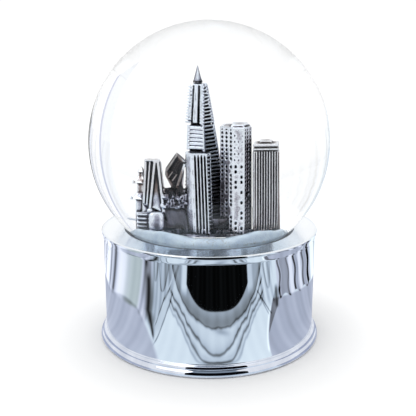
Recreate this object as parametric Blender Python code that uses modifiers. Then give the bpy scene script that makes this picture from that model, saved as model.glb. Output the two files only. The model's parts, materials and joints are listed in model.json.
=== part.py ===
"""Musical snow globe.

A 100 mm water ball stands in a chrome drum.  Inside the ball a cast city
skyline stands on a low mound; inside the drum a wind-up musical movement is
screwed to the bottom plate, with its key in the recess underneath.

The frame: +Z up, origin at the centre of the drum's resting rim, the front of
the object towards -Y.  Lengths in the constants are millimetres; MM turns
them into metres.
"""
import math

import bmesh
import bpy
from mathutils import Matrix, Vector

MM = 0.001
GAP = 0.3                      # play left between two pieces that touch

# ---- ball -------------------------------------------------------------------
BALL_R = 50.0                  # outside of the glass
BALL_Z = 83.1                  # height of the ball's centre
GLASS_T = 2.2                  # glass wall
NECK_R = 29.5                  # outside of the neck
NECK_BORE = 27.0               # inside of the neck
NECK_END = 34.0                # lower rim of the neck
BALL_STEPS = 32

# ---- drum -------------------------------------------------------------------
WALL_R = 45.3                  # outside of the plain wall
SHEET = 1.2                    # metal thickness of the drum
TOP_BEAD_R = 46.0
UPPER_FOOT_R = 47.0
LOWER_FOOT_R = 48.0
DECK_Z = 47.6                  # flat mirror top
RIM_Z = 48.2                   # top of the bead round the deck
DECK_HOLE = 35.5
DRUM_STEPS = 48

# ---- mound and skyline --------------------------------------------------------
MOUND_R = 26.2
MOUND_Z = 53.4                 # flat top of the mound
CITY_Z = MOUND_Z + GAP         # foot of the skyline casting

# ---- bottom plate and movement -------------------------------------------------
PLATE_Z0, PLATE_Z1 = 11.0, 12.8
PLATE_R = WALL_R - SHEET - GAP
POST_R = 39.5                  # circle of the three screw posts
POST_ANGLES = (60.0, 180.0, 300.0)
BED_Z0, BED_Z1 = 13.1, 14.6
MOVEMENT_SCREWS = ((-20.5, 0.0), (28.0, 9.2), (25.0, -13.0))

BARREL_R = 16.6
BARREL_Z0, BARREL_Z1 = 15.2, 21.5
CROWN_TEETH = 48
CROWN_H = 1.3                  # height of the crown teeth
CROWN_R0, CROWN_R1 = 14.4, 16.4
ARBOR_R = 1.5

CYL_Z = 25.35                  # axis of the pinned cylinder, parallel to X
PINION_TEETH = 10
WHEEL_TEETH = 36
GOV_PINION_TEETH = 12
WORM_TEETH = 18
WORM_STARTS = 3
MODULE = 0.35                  # of the cylinder wheel and the governor pinion
GOV_Y = -7.4                   # governor wheel's axis, parallel to X
WHEEL_PITCH = MODULE * WHEEL_TEETH / 2
GOV_PITCH = MODULE * GOV_PINION_TEETH / 2
GOV_Z = CYL_Z - math.sqrt((WHEEL_PITCH + GOV_PITCH) ** 2 - GOV_Y ** 2)
WORM_PITCH = 1.024             # from one thread of the worm to the next
WORM_LEAD = WORM_STARTS * WORM_PITCH
WORM_WHEEL_R = WORM_TEETH * WORM_PITCH / math.tau
WORM_DIST = WORM_WHEEL_R + 0.81   # worm wheel's axis to worm's axis
FAN_X = 36.5
FAN_Y = GOV_Y - WORM_DIST

# ---- a clean scene --------------------------------------------------------------
for old in list(bpy.data.objects):
    bpy.data.objects.remove(old, do_unlink=True)

scene = bpy.context.scene
scene.unit_settings.system = "METRIC"
PARTS = bpy.data.collections.new("snow_globe")
CUTTERS = bpy.data.collections.new("cutters")
scene.collection.children.link(PARTS)
scene.collection.children.link(CUTTERS)


# ---- materials -------------------------------------------------------------------
def material(name, colour, rough, metal, transmission=0.0, ior=1.5):
    mat = bpy.data.materials.get(name) or bpy.data.materials.new(name)
    mat.use_nodes = True
    bsdf = mat.node_tree.nodes["Principled BSDF"]
    bsdf.inputs["Base Color"].default_value = (*colour, 1.0)
    bsdf.inputs["Roughness"].default_value = rough
    bsdf.inputs["Metallic"].default_value = metal
    bsdf.inputs["Transmission Weight"].default_value = transmission
    bsdf.inputs["IOR"].default_value = ior
    mat.diffuse_color = (*colour, 1.0)
    return mat


CHROME = material("chrome", (0.86, 0.87, 0.89), 0.04, 1.0)
GLASS = material("clear_glass", (0.97, 0.99, 1.0), 0.0, 0.0, 1.0, 1.5)
WATER = material("water", (0.96, 0.99, 1.0), 0.0, 0.0, 1.0, 1.33)
PEWTER = material("silver_casting", (0.62, 0.64, 0.67), 0.28, 1.0)
RESIN = material("white_resin", (0.86, 0.88, 0.87), 0.45, 0.0)
FLAKES = material("snow_flakes", (0.93, 0.95, 0.96), 0.35, 0.0)
RUBBER = material("black_rubber", (0.03, 0.03, 0.035), 0.7, 0.0)
SEAT = material("grey_plastic", (0.2, 0.21, 0.22), 0.55, 0.0)
BLACK = material("black_plastic", (0.03, 0.03, 0.03), 0.45, 0.0)
ZINC = material("die_cast_zinc", (0.55, 0.56, 0.58), 0.4, 1.0)
STEEL = material("steel", (0.6, 0.61, 0.63), 0.3, 1.0)
SPRING = material("spring_steel", (0.2, 0.22, 0.27), 0.3, 1.0)
BRASS = material("brass", (0.78, 0.6, 0.28), 0.25, 1.0)
NYLON = material("white_nylon", (0.85, 0.85, 0.8), 0.5, 0.0)


# ---- building blocks ---------------------------------------------------------------
def put(obj, mat=None, cutter=False):
    (CUTTERS if cutter else PARTS).objects.link(obj)
    if cutter:
        obj.hide_render = True
        obj.display_type = "WIRE"
    if mat:
        obj.data.materials.append(mat)
    return obj


def smooth(obj, degrees=35.0):
    obj.data.shade_smooth()
    obj.data.set_sharp_from_angle(angle=math.radians(degrees))
    return obj


def lathe(name, outline, mat, steps=DRUM_STEPS, cutter=False):
    """Turn a profile of (radius, height) about Z.  The profile runs down the
    outer side, top to bottom, and ends on the axis or where it began."""
    mesh = bpy.data.meshes.new(name)
    bm = bmesh.new()
    verts = [bm.verts.new((r * MM, 0.0, z * MM)) for r, z in outline]
    for a, b in zip(verts, verts[1:]):
        bm.edges.new((a, b))
    if outline[0][0] > 1e-6:
        bm.edges.new((verts[-1], verts[0]))
    bm.to_mesh(mesh)
    bm.free()
    obj = put(bpy.data.objects.new(name, mesh), mat, cutter)
    screw = obj.modifiers.new("turn", "SCREW")
    screw.axis = "Z"
    screw.angle = math.tau
    screw.steps = screw.render_steps = steps
    screw.use_merge_vertices = True
    screw.merge_threshold = 0.00001
    screw.use_smooth_shade = True
    return obj


def box(name, lo, hi, mat=None, turn=0.0, cutter=False):
    """A block between two corners, turned about its own vertical axis."""
    lo, hi = Vector(lo) * MM, Vector(hi) * MM
    mesh = bpy.data.meshes.new(name)
    bm = bmesh.new()
    bmesh.ops.create_cube(bm, size=1.0)
    bmesh.ops.scale(bm, vec=hi - lo, verts=bm.verts)
    bm.to_mesh(mesh)
    bm.free()
    obj = put(bpy.data.objects.new(name, mesh), mat, cutter)
    obj.location = (lo + hi) / 2
    obj.rotation_euler.z = math.radians(turn)
    return obj


def rod(name, r0, r1, z0, z1, x=0.0, y=0.0, mat=None, sides=20, cutter=False, turn=0.0):
    """An upright cylinder or cone: r0 at z0, r1 at z1."""
    mesh = bpy.data.meshes.new(name)
    bm = bmesh.new()
    bmesh.ops.create_cone(
        bm, cap_ends=True, segments=sides, radius1=r0 * MM, radius2=r1 * MM, depth=(z1 - z0) * MM
    )
    bm.to_mesh(mesh)
    bm.free()
    obj = put(bpy.data.objects.new(name, mesh), mat, cutter)
    obj.location = (x * MM, y * MM, (z0 + z1) / 2 * MM)
    obj.rotation_euler.z = math.radians(turn)
    return smooth(obj)


def circle(r, cx=0.0, cy=0.0, n=24, start=0.0):
    return [
        (cx + r * math.cos(start + math.tau * k / n), cy + r * math.sin(start + math.tau * k / n))
        for k in range(n)
    ]


def flat(name, outlines, thickness, mat=None, cutter=False):
    """A plate cut to 2-D outlines, the first the outside and the others holes.
    It lies in XY, centred on its thickness."""
    curve = bpy.data.curves.new(name + "_outline", "CURVE")
    curve.dimensions = "2D"
    curve.fill_mode = "BOTH"
    curve.extrude = thickness * MM / 2
    for outline in outlines:
        spline = curve.splines.new("POLY")
        spline.points.add(len(outline) - 1)
        for point, (x, y) in zip(spline.points, outline):
            point.co = (x * MM, y * MM, 0.0, 1.0)
        spline.use_cyclic_u = True
    guide = bpy.data.objects.new(name + "_outline", curve)
    scene.collection.objects.link(guide)
    bpy.context.view_layer.update()
    evaluated = guide.evaluated_get(bpy.context.evaluated_depsgraph_get())
    mesh = bpy.data.meshes.new_from_object(evaluated)
    mesh.name = name
    bpy.data.objects.remove(guide, do_unlink=True)
    bm = bmesh.new()
    bm.from_mesh(mesh)
    bmesh.ops.remove_doubles(bm, verts=bm.verts, dist=0.000002)
    bmesh.ops.recalc_face_normals(bm, faces=bm.faces)
    bm.to_mesh(mesh)
    bm.free()
    mesh.materials.clear()
    return smooth(put(bpy.data.objects.new(name, mesh), mat, cutter))


def lay(obj, x, y, z):
    """Stand a flat plate so that its thickness runs along X: the outline's
    first axis becomes +Y and its second +Z."""
    turn = Matrix(((0, 0, 1), (1, 0, 0), (0, 1, 0))).to_4x4()
    obj.matrix_world = Matrix.Translation(Vector((x, y, z)) * MM) @ turn
    return obj


def combine(obj, other, how="UNION"):
    mod = obj.modifiers.new(how.lower(), "BOOLEAN")
    mod.operation = how
    mod.solver = "EXACT"
    mod.object = other
    return obj


def gear(teeth, root, tip, width_root, width_tip, phase):
    """Outline of a gear with plain tapered teeth, one of them at the angle phase."""
    points = []
    for k in range(teeth):
        a = phase + math.tau * k / teeth
        for r, half, sign in (
            (root, width_root, -1), (tip, width_tip, -1), (tip, width_tip, 1), (root, width_root, 1)
        ):
            b = a + sign * half / 2 / r
            points.append((r * math.cos(b), r * math.sin(b)))
    return points


def sphere_r(z, radius):
    return math.sqrt(max(radius ** 2 - (z - BALL_Z) ** 2, 0.0))


def arc(radius, z_from, z_to, n):
    """Points of the ball's section at a radius, evenly spaced in angle."""
    a0 = math.acos(max(-1.0, min(1.0, (z_from - BALL_Z) / radius)))
    a1 = math.acos(max(-1.0, min(1.0, (z_to - BALL_Z) / radius)))
    return [
        (radius * math.sin(a0 + (a1 - a0) * k / n), BALL_Z + radius * math.cos(a0 + (a1 - a0) * k / n))
        for k in range(n + 1)
    ]


# ---- the ball ----------------------------------------------------------------------
inner = BALL_R - GLASS_T
neck_top_out = BALL_Z - math.sqrt(BALL_R ** 2 - NECK_R ** 2)
neck_top_in = BALL_Z - math.sqrt(inner ** 2 - NECK_BORE ** 2)
outside = arc(BALL_R, BALL_Z + BALL_R, BALL_Z, 6) + arc(BALL_R, BALL_Z, neck_top_out, 6)[1:]
inside = arc(inner, neck_top_in, BALL_Z, 6) + arc(inner, BALL_Z, BALL_Z + inner, 6)[1:]
outside[0] = (0.0, BALL_Z + BALL_R)
inside[-1] = (0.0, BALL_Z + inner)
lathe(
    "glass_globe",
    outside + [(NECK_R, NECK_END), (NECK_BORE, NECK_END)] + inside,
    GLASS,
    BALL_STEPS,
)

# ---- the mound, the plug under it and the settled flakes round it --------------------
lathe(
    "figurine_plinth",
    [
        (0.0, MOUND_Z), (21.5, MOUND_Z), (22.8, 52.9), (24.3, 51.7),
        (25.4, 50.5), (MOUND_R, 48.9), (MOUND_R, 44.0 + GAP), (0.0, 44.0 + GAP),
    ],
    RESIN,
    BALL_STEPS,
)
lathe(
    "rubber_stopper",
    [
        (0.0, 44.0), (NECK_BORE - GAP, 44.0), (NECK_BORE - GAP, NECK_END - GAP),
        (NECK_R, NECK_END - GAP), (NECK_R, 32.2), (0.0, 32.2),
    ],
    RUBBER,
    BALL_STEPS,
)
BED_TOP = 48.0
lathe(
    "snow_bed",
    [
        (MOUND_R + 0.4, BED_TOP), (sphere_r(BED_TOP, inner - 0.5), BED_TOP),
        (sphere_r(46.4, inner - 0.5), 46.4), (sphere_r(44.8, inner - 0.5), 44.8),
        (MOUND_R + 0.4, 44.8),
    ],
    FLAKES,
    BALL_STEPS,
)

# ---- the skyline casting ---------------------------------------------------------------
#        name             x0     x1     y0    y1    top    turn
BLOCKS = (
    ("foot",           -21.0,  21.5,  -6.0,  6.5,  55.3,   0.0),
    ("ribbed_tower",    -7.2,   0.6,  -6.8, -0.6,  80.4, -12.0),
    ("grid_tower",       3.8,  12.2,  -3.6,  4.4,  90.0,  18.0),
    ("finned_tower",    13.3,  21.9,  -3.2,  4.2,  84.0,  10.0),
    ("tilted_house",   -14.4,  -8.0,  -3.0,  4.0,  79.0,   8.0),
    ("stepped_house",  -18.4, -13.0,  -3.6,  3.0,  76.0,  -8.0),
    ("car_house",      -17.4, -12.0,  -6.6, -1.0,  63.4,  -6.0),
    ("quay",           -23.6, -16.6,  -3.4,  3.0,  62.4,   0.0),
)
PYRAMID = (-1.6, 1.6)          # centre of the tall tapered tower
PYRAMID_FOOT, PYRAMID_HEAD = 7.6, 3.4
PYRAMID_Z, SPIRE_Z = 102.4, 107.4
LEAN = -1.9                    # the pyramid's head stands this far off its foot's centre


def city(grow, low, cutter):
    """The skyline's blocks, each grown by a margin and starting at a height."""
    made = []
    for name, x0, x1, y0, y1, top, turn in BLOCKS:
        made.append(
            box(
                f"{name}_{'clearance' if grow else 'block'}",
                (x0 - grow, y0 - grow, low), (x1 + grow, y1 + grow, top + grow),
                turn=turn, cutter=cutter,
            )
        )
    tag = "clearance" if grow else "block"
    made.append(
        rod(
            f"spire_{tag}", 1.2 + grow, 0.35 + grow, PYRAMID_Z - 1.0, SPIRE_Z + grow,
            PYRAMID[0] + LEAN, PYRAMID[1], sides=10, cutter=cutter,
        )
    )
    return made


def leaning(obj):
    """Shears a tapered block sideways, so that its top stands LEAN off its foot."""
    low = min(v.co.z for v in obj.data.vertices)
    high = max(v.co.z for v in obj.data.vertices)
    shift = Matrix.Rotation(-obj.rotation_euler.z, 3, "Z") @ Vector((LEAN * MM, 0.0, 0.0))
    for v in obj.data.vertices:
        v.co += shift * (v.co.z - low) / (high - low)
    return obj


pyramid = leaning(
    rod("skyline_figurine", PYRAMID_FOOT, PYRAMID_HEAD, CITY_Z, PYRAMID_Z, *PYRAMID, PEWTER, 4, turn=8.0)
)
for block in city(0.0, CITY_Z, True):
    combine(pyramid, block)

# ---- the water ----------------------------------------------------------------------------
WATER_R = inner - GAP
WATER_FLOOR = BED_TOP + GAP
ball_of_water = arc(WATER_R, BALL_Z + WATER_R, BALL_Z, 6) + arc(WATER_R, BALL_Z, WATER_FLOOR, 5)[1:]
ball_of_water[0] = (0.0, BALL_Z + WATER_R)
water = lathe(
    "water",
    ball_of_water
    + [
        (MOUND_R + 0.4, WATER_FLOOR), (MOUND_R + 0.4, 49.2), (25.8, 50.8),
        (24.6, 52.1), (23.0, 53.3), (21.6, MOUND_Z + 0.35), (0.0, MOUND_Z + 0.35),
    ],
    WATER,
    BALL_STEPS,
)
combine(
    water,
    leaning(
        rod(
            "pyramid_clearance", PYRAMID_FOOT + 0.6, PYRAMID_HEAD + 0.6, 53.0, PYRAMID_Z + 0.4,
            *PYRAMID, sides=4, cutter=True, turn=8.0,
        )
    ),
    "DIFFERENCE",
)
for block in city(0.4, 53.0, True):
    combine(water, block, "DIFFERENCE")

# ---- the drum -----------------------------------------------------------------------------
WALL_IN = WALL_R - SHEET
lathe(
    "base_shell",
    [
        (DECK_HOLE, DECK_Z), (44.6, DECK_Z), (44.8, 48.05), (45.2, RIM_Z), (45.7, 48.0),
        (TOP_BEAD_R, 47.4), (TOP_BEAD_R, 45.6), (45.75, 45.0), (WALL_R, 44.6),
        (WALL_R, 6.0), (46.4, 5.75), (46.85, 5.3), (UPPER_FOOT_R, 4.6), (UPPER_FOOT_R, 3.8),
        (46.7, 3.1), (47.4, 2.95), (47.85, 2.5), (LOWER_FOOT_R, 1.8), (LOWER_FOOT_R, 0.9),
        (47.6, 0.25), (46.9, 0.0), (WALL_IN, 0.0),
        (WALL_IN, DECK_Z - SHEET), (DECK_HOLE, DECK_Z - SHEET),
    ],
    CHROME,
)
SEAL_Z0 = DECK_Z - SHEET - GAP - 1.2
lathe(
    "globe_seal",
    [
        (33.9, SEAL_Z0 + 1.2), (WALL_IN - 0.6, SEAL_Z0 + 1.2),
        (WALL_IN - 0.6, SEAL_Z0), (32.75, SEAL_Z0),
    ],
    RUBBER,
    BALL_STEPS,
)
SEAT_TOP = SEAL_Z0 - GAP
seat = lathe(
    "globe_seat",
    [
        (sphere_r(SEAT_TOP, BALL_R) + 0.4, SEAT_TOP), (PLATE_R, SEAT_TOP), (PLATE_R, 36.0),
        (PLATE_R - 1.7, 36.0), (PLATE_R - 1.7, 42.4), (31.8, 42.4), (31.8, 36.0),
        (NECK_R + 0.4, 36.0), (NECK_R + 0.4, 42.4), (sphere_r(43.2, BALL_R) + 0.45, 43.2),
    ],
    SEAT,
)
posts = []
for k, degrees in enumerate(POST_ANGLES, 1):
    px = POST_R * math.cos(math.radians(degrees))
    py = POST_R * math.sin(math.radians(degrees))
    posts.append((px, py))
    combine(seat, rod(f"post_{k}", 2.8, 2.8, PLATE_Z1 + GAP, 43.0, px, py, sides=12, cutter=True))
    combine(
        seat,
        rod(f"post_{k}_bore", 1.5, 1.5, PLATE_Z1, 22.0, px, py, sides=8, cutter=True),
        "DIFFERENCE",
    )

# ---- the bottom plate and its screws ---------------------------------------------------------
plate = flat(
    "bottom_plate",
    [circle(PLATE_R, n=DRUM_STEPS), circle(2.4, n=16)]
    + [circle(1.5, x, y, 12) for x, y in posts]
    + [circle(1.5, x, y, 12) for x, y in MOVEMENT_SCREWS],
    PLATE_Z1 - PLATE_Z0,
    BLACK,
)
plate.location.z = (PLATE_Z0 + PLATE_Z1) / 2 * MM


def screw_piece(name, x, y, seat_z, tip_z, shank, head, head_h, mat=STEEL):
    """A pan-head screw.  It enters at seat_z and ends at tip_z, up or down."""
    way = 1.0 if tip_z > seat_z else -1.0
    under = seat_z - way * GAP
    back = under - way * head_h
    profile = [
        (0.0, back), (head * 0.72, back), (head, back + way * head_h * 0.4), (head, under),
        (shank, under), (shank, tip_z), (0.0, tip_z),
    ]
    if way > 0:
        profile.reverse()
    obj = lathe(name, profile, mat, 8)
    obj.location = (x * MM, y * MM, 0.0)
    slot = box(
        name + "_slot", (x - head - 1, y - 0.3, min(back, back + way * 0.5) - (0.2 if way > 0 else 0.0)),
        (x + head + 1, y + 0.3, max(back, back + way * 0.5) + (0.0 if way > 0 else 0.2)), cutter=True,
    )
    return combine(obj, slot, "DIFFERENCE")


for k, (x, y) in enumerate(posts, 1):
    screw_piece(f"plate_screw_{k}", x, y, PLATE_Z0, 21.0, 1.1, 2.5, 1.5)
for k, (x, y) in enumerate(MOVEMENT_SCREWS, 1):
    screw_piece(f"movement_screw_{k}", x, y, PLATE_Z0, 14.5, 1.1, 2.3, 1.4)

# ---- the movement's bedplate, with its comb seat and bearing post -----------------------------
TONGUE = (16.0, 39.3, -17.5, 16.5)
disc = 24.3
corner_hi = math.asin(TONGUE[3] / disc)
corner_lo = math.asin(TONGUE[2] / disc)
sweep = math.tau - corner_hi + corner_lo
outline = [(TONGUE[1], TONGUE[2]), (TONGUE[1], TONGUE[3])] + [
    (disc * math.cos(corner_hi + sweep * k / 28), disc * math.sin(corner_hi + sweep * k / 28))
    for k in range(29)
]
GOV_SCREW = (34.6, -14.2)
BRIDGE_SCREWS = ((0.0, 21.6), (0.0, -21.6))
bed = flat(
    "movement_bedplate",
    [outline, circle(1.9, n=16), circle(1.3, *GOV_SCREW, 10)]
    + [circle(1.3, x, y, 10) for x, y in BRIDGE_SCREWS]
    + [circle(1.5, x, y, 12) for x, y in MOVEMENT_SCREWS],
    BED_Z1 - BED_Z0,
    ZINC,
)
bed.location.z = (BED_Z0 + BED_Z1) / 2 * MM
COMB_SCREWS = ((20.5, 14.1), (29.5, 14.1))
COMB_Z0, COMB_Z1 = CYL_Z - 0.5, CYL_Z + 0.5
combine(bed, box("comb_seat", (16.8, 12.2, 14.0), (33.2, 16.3, COMB_Z0 - GAP), cutter=True))
combine(bed, box("bearing_post", (37.4, -3.0, 14.0), (38.9, 3.0, 28.6), cutter=True))
bore = rod("bearing_bore", 1.05, 1.05, -3.0, 3.0, sides=12, cutter=True)
bore.rotation_euler = (0.0, math.pi / 2, 0.0)
bore.location = (38.1 * MM, 0.0, CYL_Z * MM)
combine(bed, bore, "DIFFERENCE")
for k, (x, y) in enumerate(COMB_SCREWS, 1):
    combine(bed, rod(f"comb_bore_{k}", 1.25, 1.25, 18.0, 26.0, x, y, sides=10, cutter=True), "DIFFERENCE")

# ---- spring barrel, mainspring, arbor and key ----------------------------------------------------
barrel = lathe(
    "spring_barrel",
    [
        (ARBOR_R + 0.4, BARREL_Z1), (BARREL_R, BARREL_Z1), (BARREL_R, BARREL_Z0),
        (BARREL_R - 1.1, BARREL_Z0), (BARREL_R - 1.1, BARREL_Z1 - 1.2), (ARBOR_R + 0.4, BARREL_Z1 - 1.2),
    ],
    BRASS,
    DRUM_STEPS,
)
for k in range(CROWN_TEETH):
    a = math.tau * k / CROWN_TEETH
    mid = (CROWN_R0 + CROWN_R1) / 2
    tooth = box(
        f"crown_tooth_{k:02d}",
        (-(CROWN_R1 - CROWN_R0) / 2, -0.375, BARREL_Z1 - 0.4), ((CROWN_R1 - CROWN_R0) / 2, 0.375, BARREL_Z1 + CROWN_H),
        cutter=True,
    )
    tooth.location.x, tooth.location.y = mid * math.cos(a) * MM, mid * math.sin(a) * MM
    tooth.rotation_euler.z = a
teeth = bpy.data.collections.new("crown_teeth")
CUTTERS.children.link(teeth)
for obj in [o for o in CUTTERS.objects if o.name.startswith("crown_tooth_")]:
    CUTTERS.objects.unlink(obj)
    teeth.objects.link(obj)
crown = barrel.modifiers.new("crown", "BOOLEAN")
crown.operation = "UNION"
crown.solver = "EXACT"
crown.operand_type = "COLLECTION"
crown.collection = teeth

TURNS, STRIP, COIL_STEPS = 5, 0.4, 16
outer_edge, inner_edge = [], []
for k in range(TURNS * COIL_STEPS + 1):
    a = math.tau * k / COIL_STEPS
    r = 3.0 + (14.6 - 3.0) * k / (TURNS * COIL_STEPS)
    outer_edge.append(((r + STRIP) * math.cos(a), (r + STRIP) * math.sin(a)))
    inner_edge.append((r * math.cos(a), r * math.sin(a)))
mainspring = flat("mainspring", [outer_edge + inner_edge[::-1]], 4.2, SPRING)
mainspring.location.z = 17.9 * MM

lathe(
    "winding_arbor",
    [
        (0.0, 24.9), (1.1, 24.9), (ARBOR_R, 24.5), (ARBOR_R, 20.0), (2.4, 20.0), (2.4, 15.6),
        (ARBOR_R, 15.6), (ARBOR_R, 3.6), (1.1, 3.2), (0.0, 3.2),
    ],
    STEEL,
    16,
)
key = flat(
    "winding_key",
    [
        [(-8.5, 2.2), (8.5, 2.2)]
        + [(8.5 + 4.1 * math.cos(a), 4.1 * math.sin(a)) for a in [math.radians(75 - 150 * k / 12) for k in range(13)]]
        + [(8.5, -2.2), (-8.5, -2.2)]
        + [(-8.5 + 4.1 * math.cos(a), 4.1 * math.sin(a)) for a in [math.radians(255 - 150 * k / 12) for k in range(13)]],
        circle(1.9, 8.8, 0.0, 12), circle(1.9, -8.8, 0.0, 12),
    ],
    1.6,
    STEEL,
)
key.matrix_world = Matrix.Translation((0.0, 0.0, 5.5 * MM)) @ Matrix.Rotation(math.pi / 2, 4, "X")
boss = rod("key_boss", 2.9, 2.9, -4.0, 4.0, sides=16, cutter=True)
boss.location = (0.0, 0.0, 5.9 * MM)
combine(key, boss)
hollow = rod("key_bore", 1.85, 1.85, 2.6, 12.0, sides=16, cutter=True)
combine(key, hollow, "DIFFERENCE")

# ---- bridge over the barrel --------------------------------------------------------------------
STRAP_Z0, STRAP_Z1 = 23.3, 24.3
bridge = flat(
    "barrel_bridge",
    [
        [
            (-23.9, 14.9), (-18.3, 14.9), (-18.3, STRAP_Z0), (18.3, STRAP_Z0), (18.3, 14.9), (23.9, 14.9),
            (23.9, 15.9), (19.3, 15.9), (19.3, STRAP_Z1), (-19.3, STRAP_Z1), (-19.3, 15.9), (-23.9, 15.9),
        ]
    ],
    8.0,
    STEEL,
)
lay(bridge, 0.0, 0.0, 0.0)
combine(bridge, box("bearing_tab", (2.8, -2.2, 24.0), (3.9, 2.2, 27.6), cutter=True))
tab_bore = rod("tab_bore", 1.05, 1.05, -3.0, 3.0, sides=12, cutter=True)
tab_bore.rotation_euler = (0.0, math.pi / 2, 0.0)
tab_bore.location = (3.4 * MM, 0.0, CYL_Z * MM)
combine(bridge, tab_bore, "DIFFERENCE")
combine(bridge, rod("arbor_bore", 1.85, 1.85, 22.0, 24.2 + 0.6, sides=16, cutter=True), "DIFFERENCE")
for k, (x, y) in enumerate(BRIDGE_SCREWS, 1):
    combine(bridge, rod(f"bridge_bore_{k}", 1.3, 1.3, 14.0, 17.0, x, y, sides=10, cutter=True), "DIFFERENCE")
    screw_piece(f"bridge_screw_{k}", x, y, 15.9, 13.2, 0.95, 1.9, 1.2)

# ---- pinned cylinder, its pinion and its wheel ---------------------------------------------------
shaft = rod("cylinder_shaft", 0.75, 0.75, -18.2, 18.2, mat=STEEL, sides=12)
shaft.rotation_euler = (0.0, math.pi / 2, 0.0)
shaft.location = (20.7 * MM, 0.0, CYL_Z * MM)

drum = lathe(
    "pinned_cylinder",
    [(1.05, 8.0), (5.6, 8.0), (5.6, -8.0), (4.7, -8.0), (4.7, 7.0), (1.05, 7.0)],
    BRASS,
    20,
)
drum.rotation_euler = (0.0, math.pi / 2, 0.0)
drum.location = (25.0 * MM, 0.0, CYL_Z * MM)
pins = bpy.data.collections.new("cylinder_pins")
CUTTERS.children.link(pins)
for track in range(18):
    for note in range(2):
        a = math.radians((track * 67 + note * 151) % 360)
        pin = box(
            f"pin_{track:02d}_{note}",
            (25.0 - 7.45 + track * 0.88 - 0.12, -0.12, 5.2), (25.0 - 7.45 + track * 0.88 + 0.12, 0.12, 6.1),
            cutter=True,
        )
        height = pin.location.z
        pin.location.y, pin.location.z = -height * math.sin(a), CYL_Z * MM + height * math.cos(a)
        pin.rotation_euler.x = a
        CUTTERS.objects.unlink(pin)
        pins.objects.link(pin)
pinned = drum.modifiers.new("pins", "BOOLEAN")
pinned.operation = "UNION"
pinned.solver = "EXACT"
pinned.operand_type = "COLLECTION"
pinned.collection = pins

half_pitch = math.pi / PINION_TEETH
lay(
    flat(
        "cylinder_pinion",
        [gear(PINION_TEETH, 2.35, 3.65, 0.85, 0.5, -math.pi / 2 + half_pitch), circle(1.05, n=12)],
        1.8, BRASS,
    ),
    15.4, 0.0, CYL_Z,
)
toward = math.atan2(GOV_Z - CYL_Z, GOV_Y)
lay(
    flat(
        "cylinder_wheel",
        [gear(WHEEL_TEETH, WHEEL_PITCH - 0.4, WHEEL_PITCH + 0.25, 0.5, 0.26, toward), circle(1.05, n=12)],
        1.2, BRASS,
    ),
    34.6, 0.0, CYL_Z,
)

# ---- comb ----------------------------------------------------------------------------------------
COMB_X0, COMB_X1 = 17.2, 32.8
TIP_Y, SLOT_Y, BACK_Y = 6.5, 11.6, 16.3
pitch = (COMB_X1 - COMB_X0) / 18
comb_outline = [(COMB_X1, BACK_Y), (COMB_X0, BACK_Y)]
for k in range(18):
    x0, x1 = COMB_X0 + k * pitch, COMB_X0 + (k + 1) * pitch
    root_y = SLOT_Y + 0.5 - 0.05 * k
    if k:
        comb_outline.append((x0 + 0.14, root_y))
    comb_outline += [(x0 + (0.14 if k else 0.0), TIP_Y), (x1 - (0.14 if k < 17 else 0.0), TIP_Y)]
    if k < 17:
        comb_outline.append((x1 - 0.14, root_y))
comb = flat("comb", [comb_outline] + [circle(1.25, x, y, 10) for x, y in COMB_SCREWS], COMB_Z1 - COMB_Z0, STEEL)
comb.location.z = CYL_Z * MM
for k, (x, y) in enumerate(COMB_SCREWS, 1):
    screw_piece(f"comb_screw_{k}", x, y, COMB_Z1, 18.6, 0.9, 1.8, 1.2)

# ---- governor ----------------------------------------------------------------------------------------
frame = flat(
    "governor_frame",
    [
        [(33.35, -4.4), (33.35, -17.2), (38.9, -17.2), (38.9, -4.4)],
        circle(0.85, FAN_X, FAN_Y, 10), circle(1.3, *GOV_SCREW, 10),
    ],
    1.0,
    ZINC,
)
frame.location.z = 15.4 * MM
combine(frame, box("inner_cheek", (33.35, -9.6, 15.0), (33.85, -5.2, 23.6), cutter=True))
combine(frame, box("outer_cheek", (37.95, -9.4, 15.0), (38.75, -5.2, 23.6), cutter=True))
combine(frame, box("fan_column", (35.9, -17.2, 15.0), (37.1, -16.2, 29.9), cutter=True))
combine(frame, box("fan_arm", (34.9, -17.2, 29.0), (38.1, FAN_Y + 1.6, 29.9), cutter=True))
cheek_bore = rod("cheek_bore", 0.85, 0.85, -5.0, 5.0, sides=10, cutter=True)
cheek_bore.rotation_euler = (0.0, math.pi / 2, 0.0)
cheek_bore.location = (36.0 * MM, GOV_Y * MM, GOV_Z * MM)
combine(frame, cheek_bore, "DIFFERENCE")
combine(frame, rod("fan_bore", 0.85, 0.85, 28.0, 31.0, FAN_X, FAN_Y, sides=10, cutter=True), "DIFFERENCE")
screw_piece("governor_screw", *GOV_SCREW, 15.9, 13.2, 0.95, 1.8, 1.1)

wheel = flat(
    "governor_wheel",
    [gear(WORM_TEETH, WORM_WHEEL_R - 0.36, WORM_WHEEL_R + 0.14, 0.38, 0.2, math.pi)],
    0.8, NYLON,
)
twist = WORM_LEAD / (math.tau * 0.8) / (WORM_WHEEL_R * MM)      # teeth follow the worm's lead
for vert in wheel.data.vertices:
    vert.co = Matrix.Rotation(twist * vert.co.z, 3, "Z") @ vert.co
lay(wheel, FAN_X, GOV_Y, GOV_Z)
pinion_phase = toward + math.pi + math.pi / GOV_PINION_TEETH
combine(
    wheel,
    lay(
        flat(
            "governor_pinion",
            [gear(GOV_PINION_TEETH, GOV_PITCH - 0.42, GOV_PITCH + 0.25, 0.5, 0.26, pinion_phase)],
            1.4, cutter=True,
        ),
        34.6, GOV_Y, GOV_Z,
    ),
)
spindle = rod("governor_spindle", 0.55, 0.55, -2.7, 2.7, sides=10, cutter=True)
spindle.rotation_euler = (0.0, math.pi / 2, 0.0)
spindle.location = (36.0 * MM, GOV_Y * MM, GOV_Z * MM)
combine(wheel, spindle)

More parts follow.
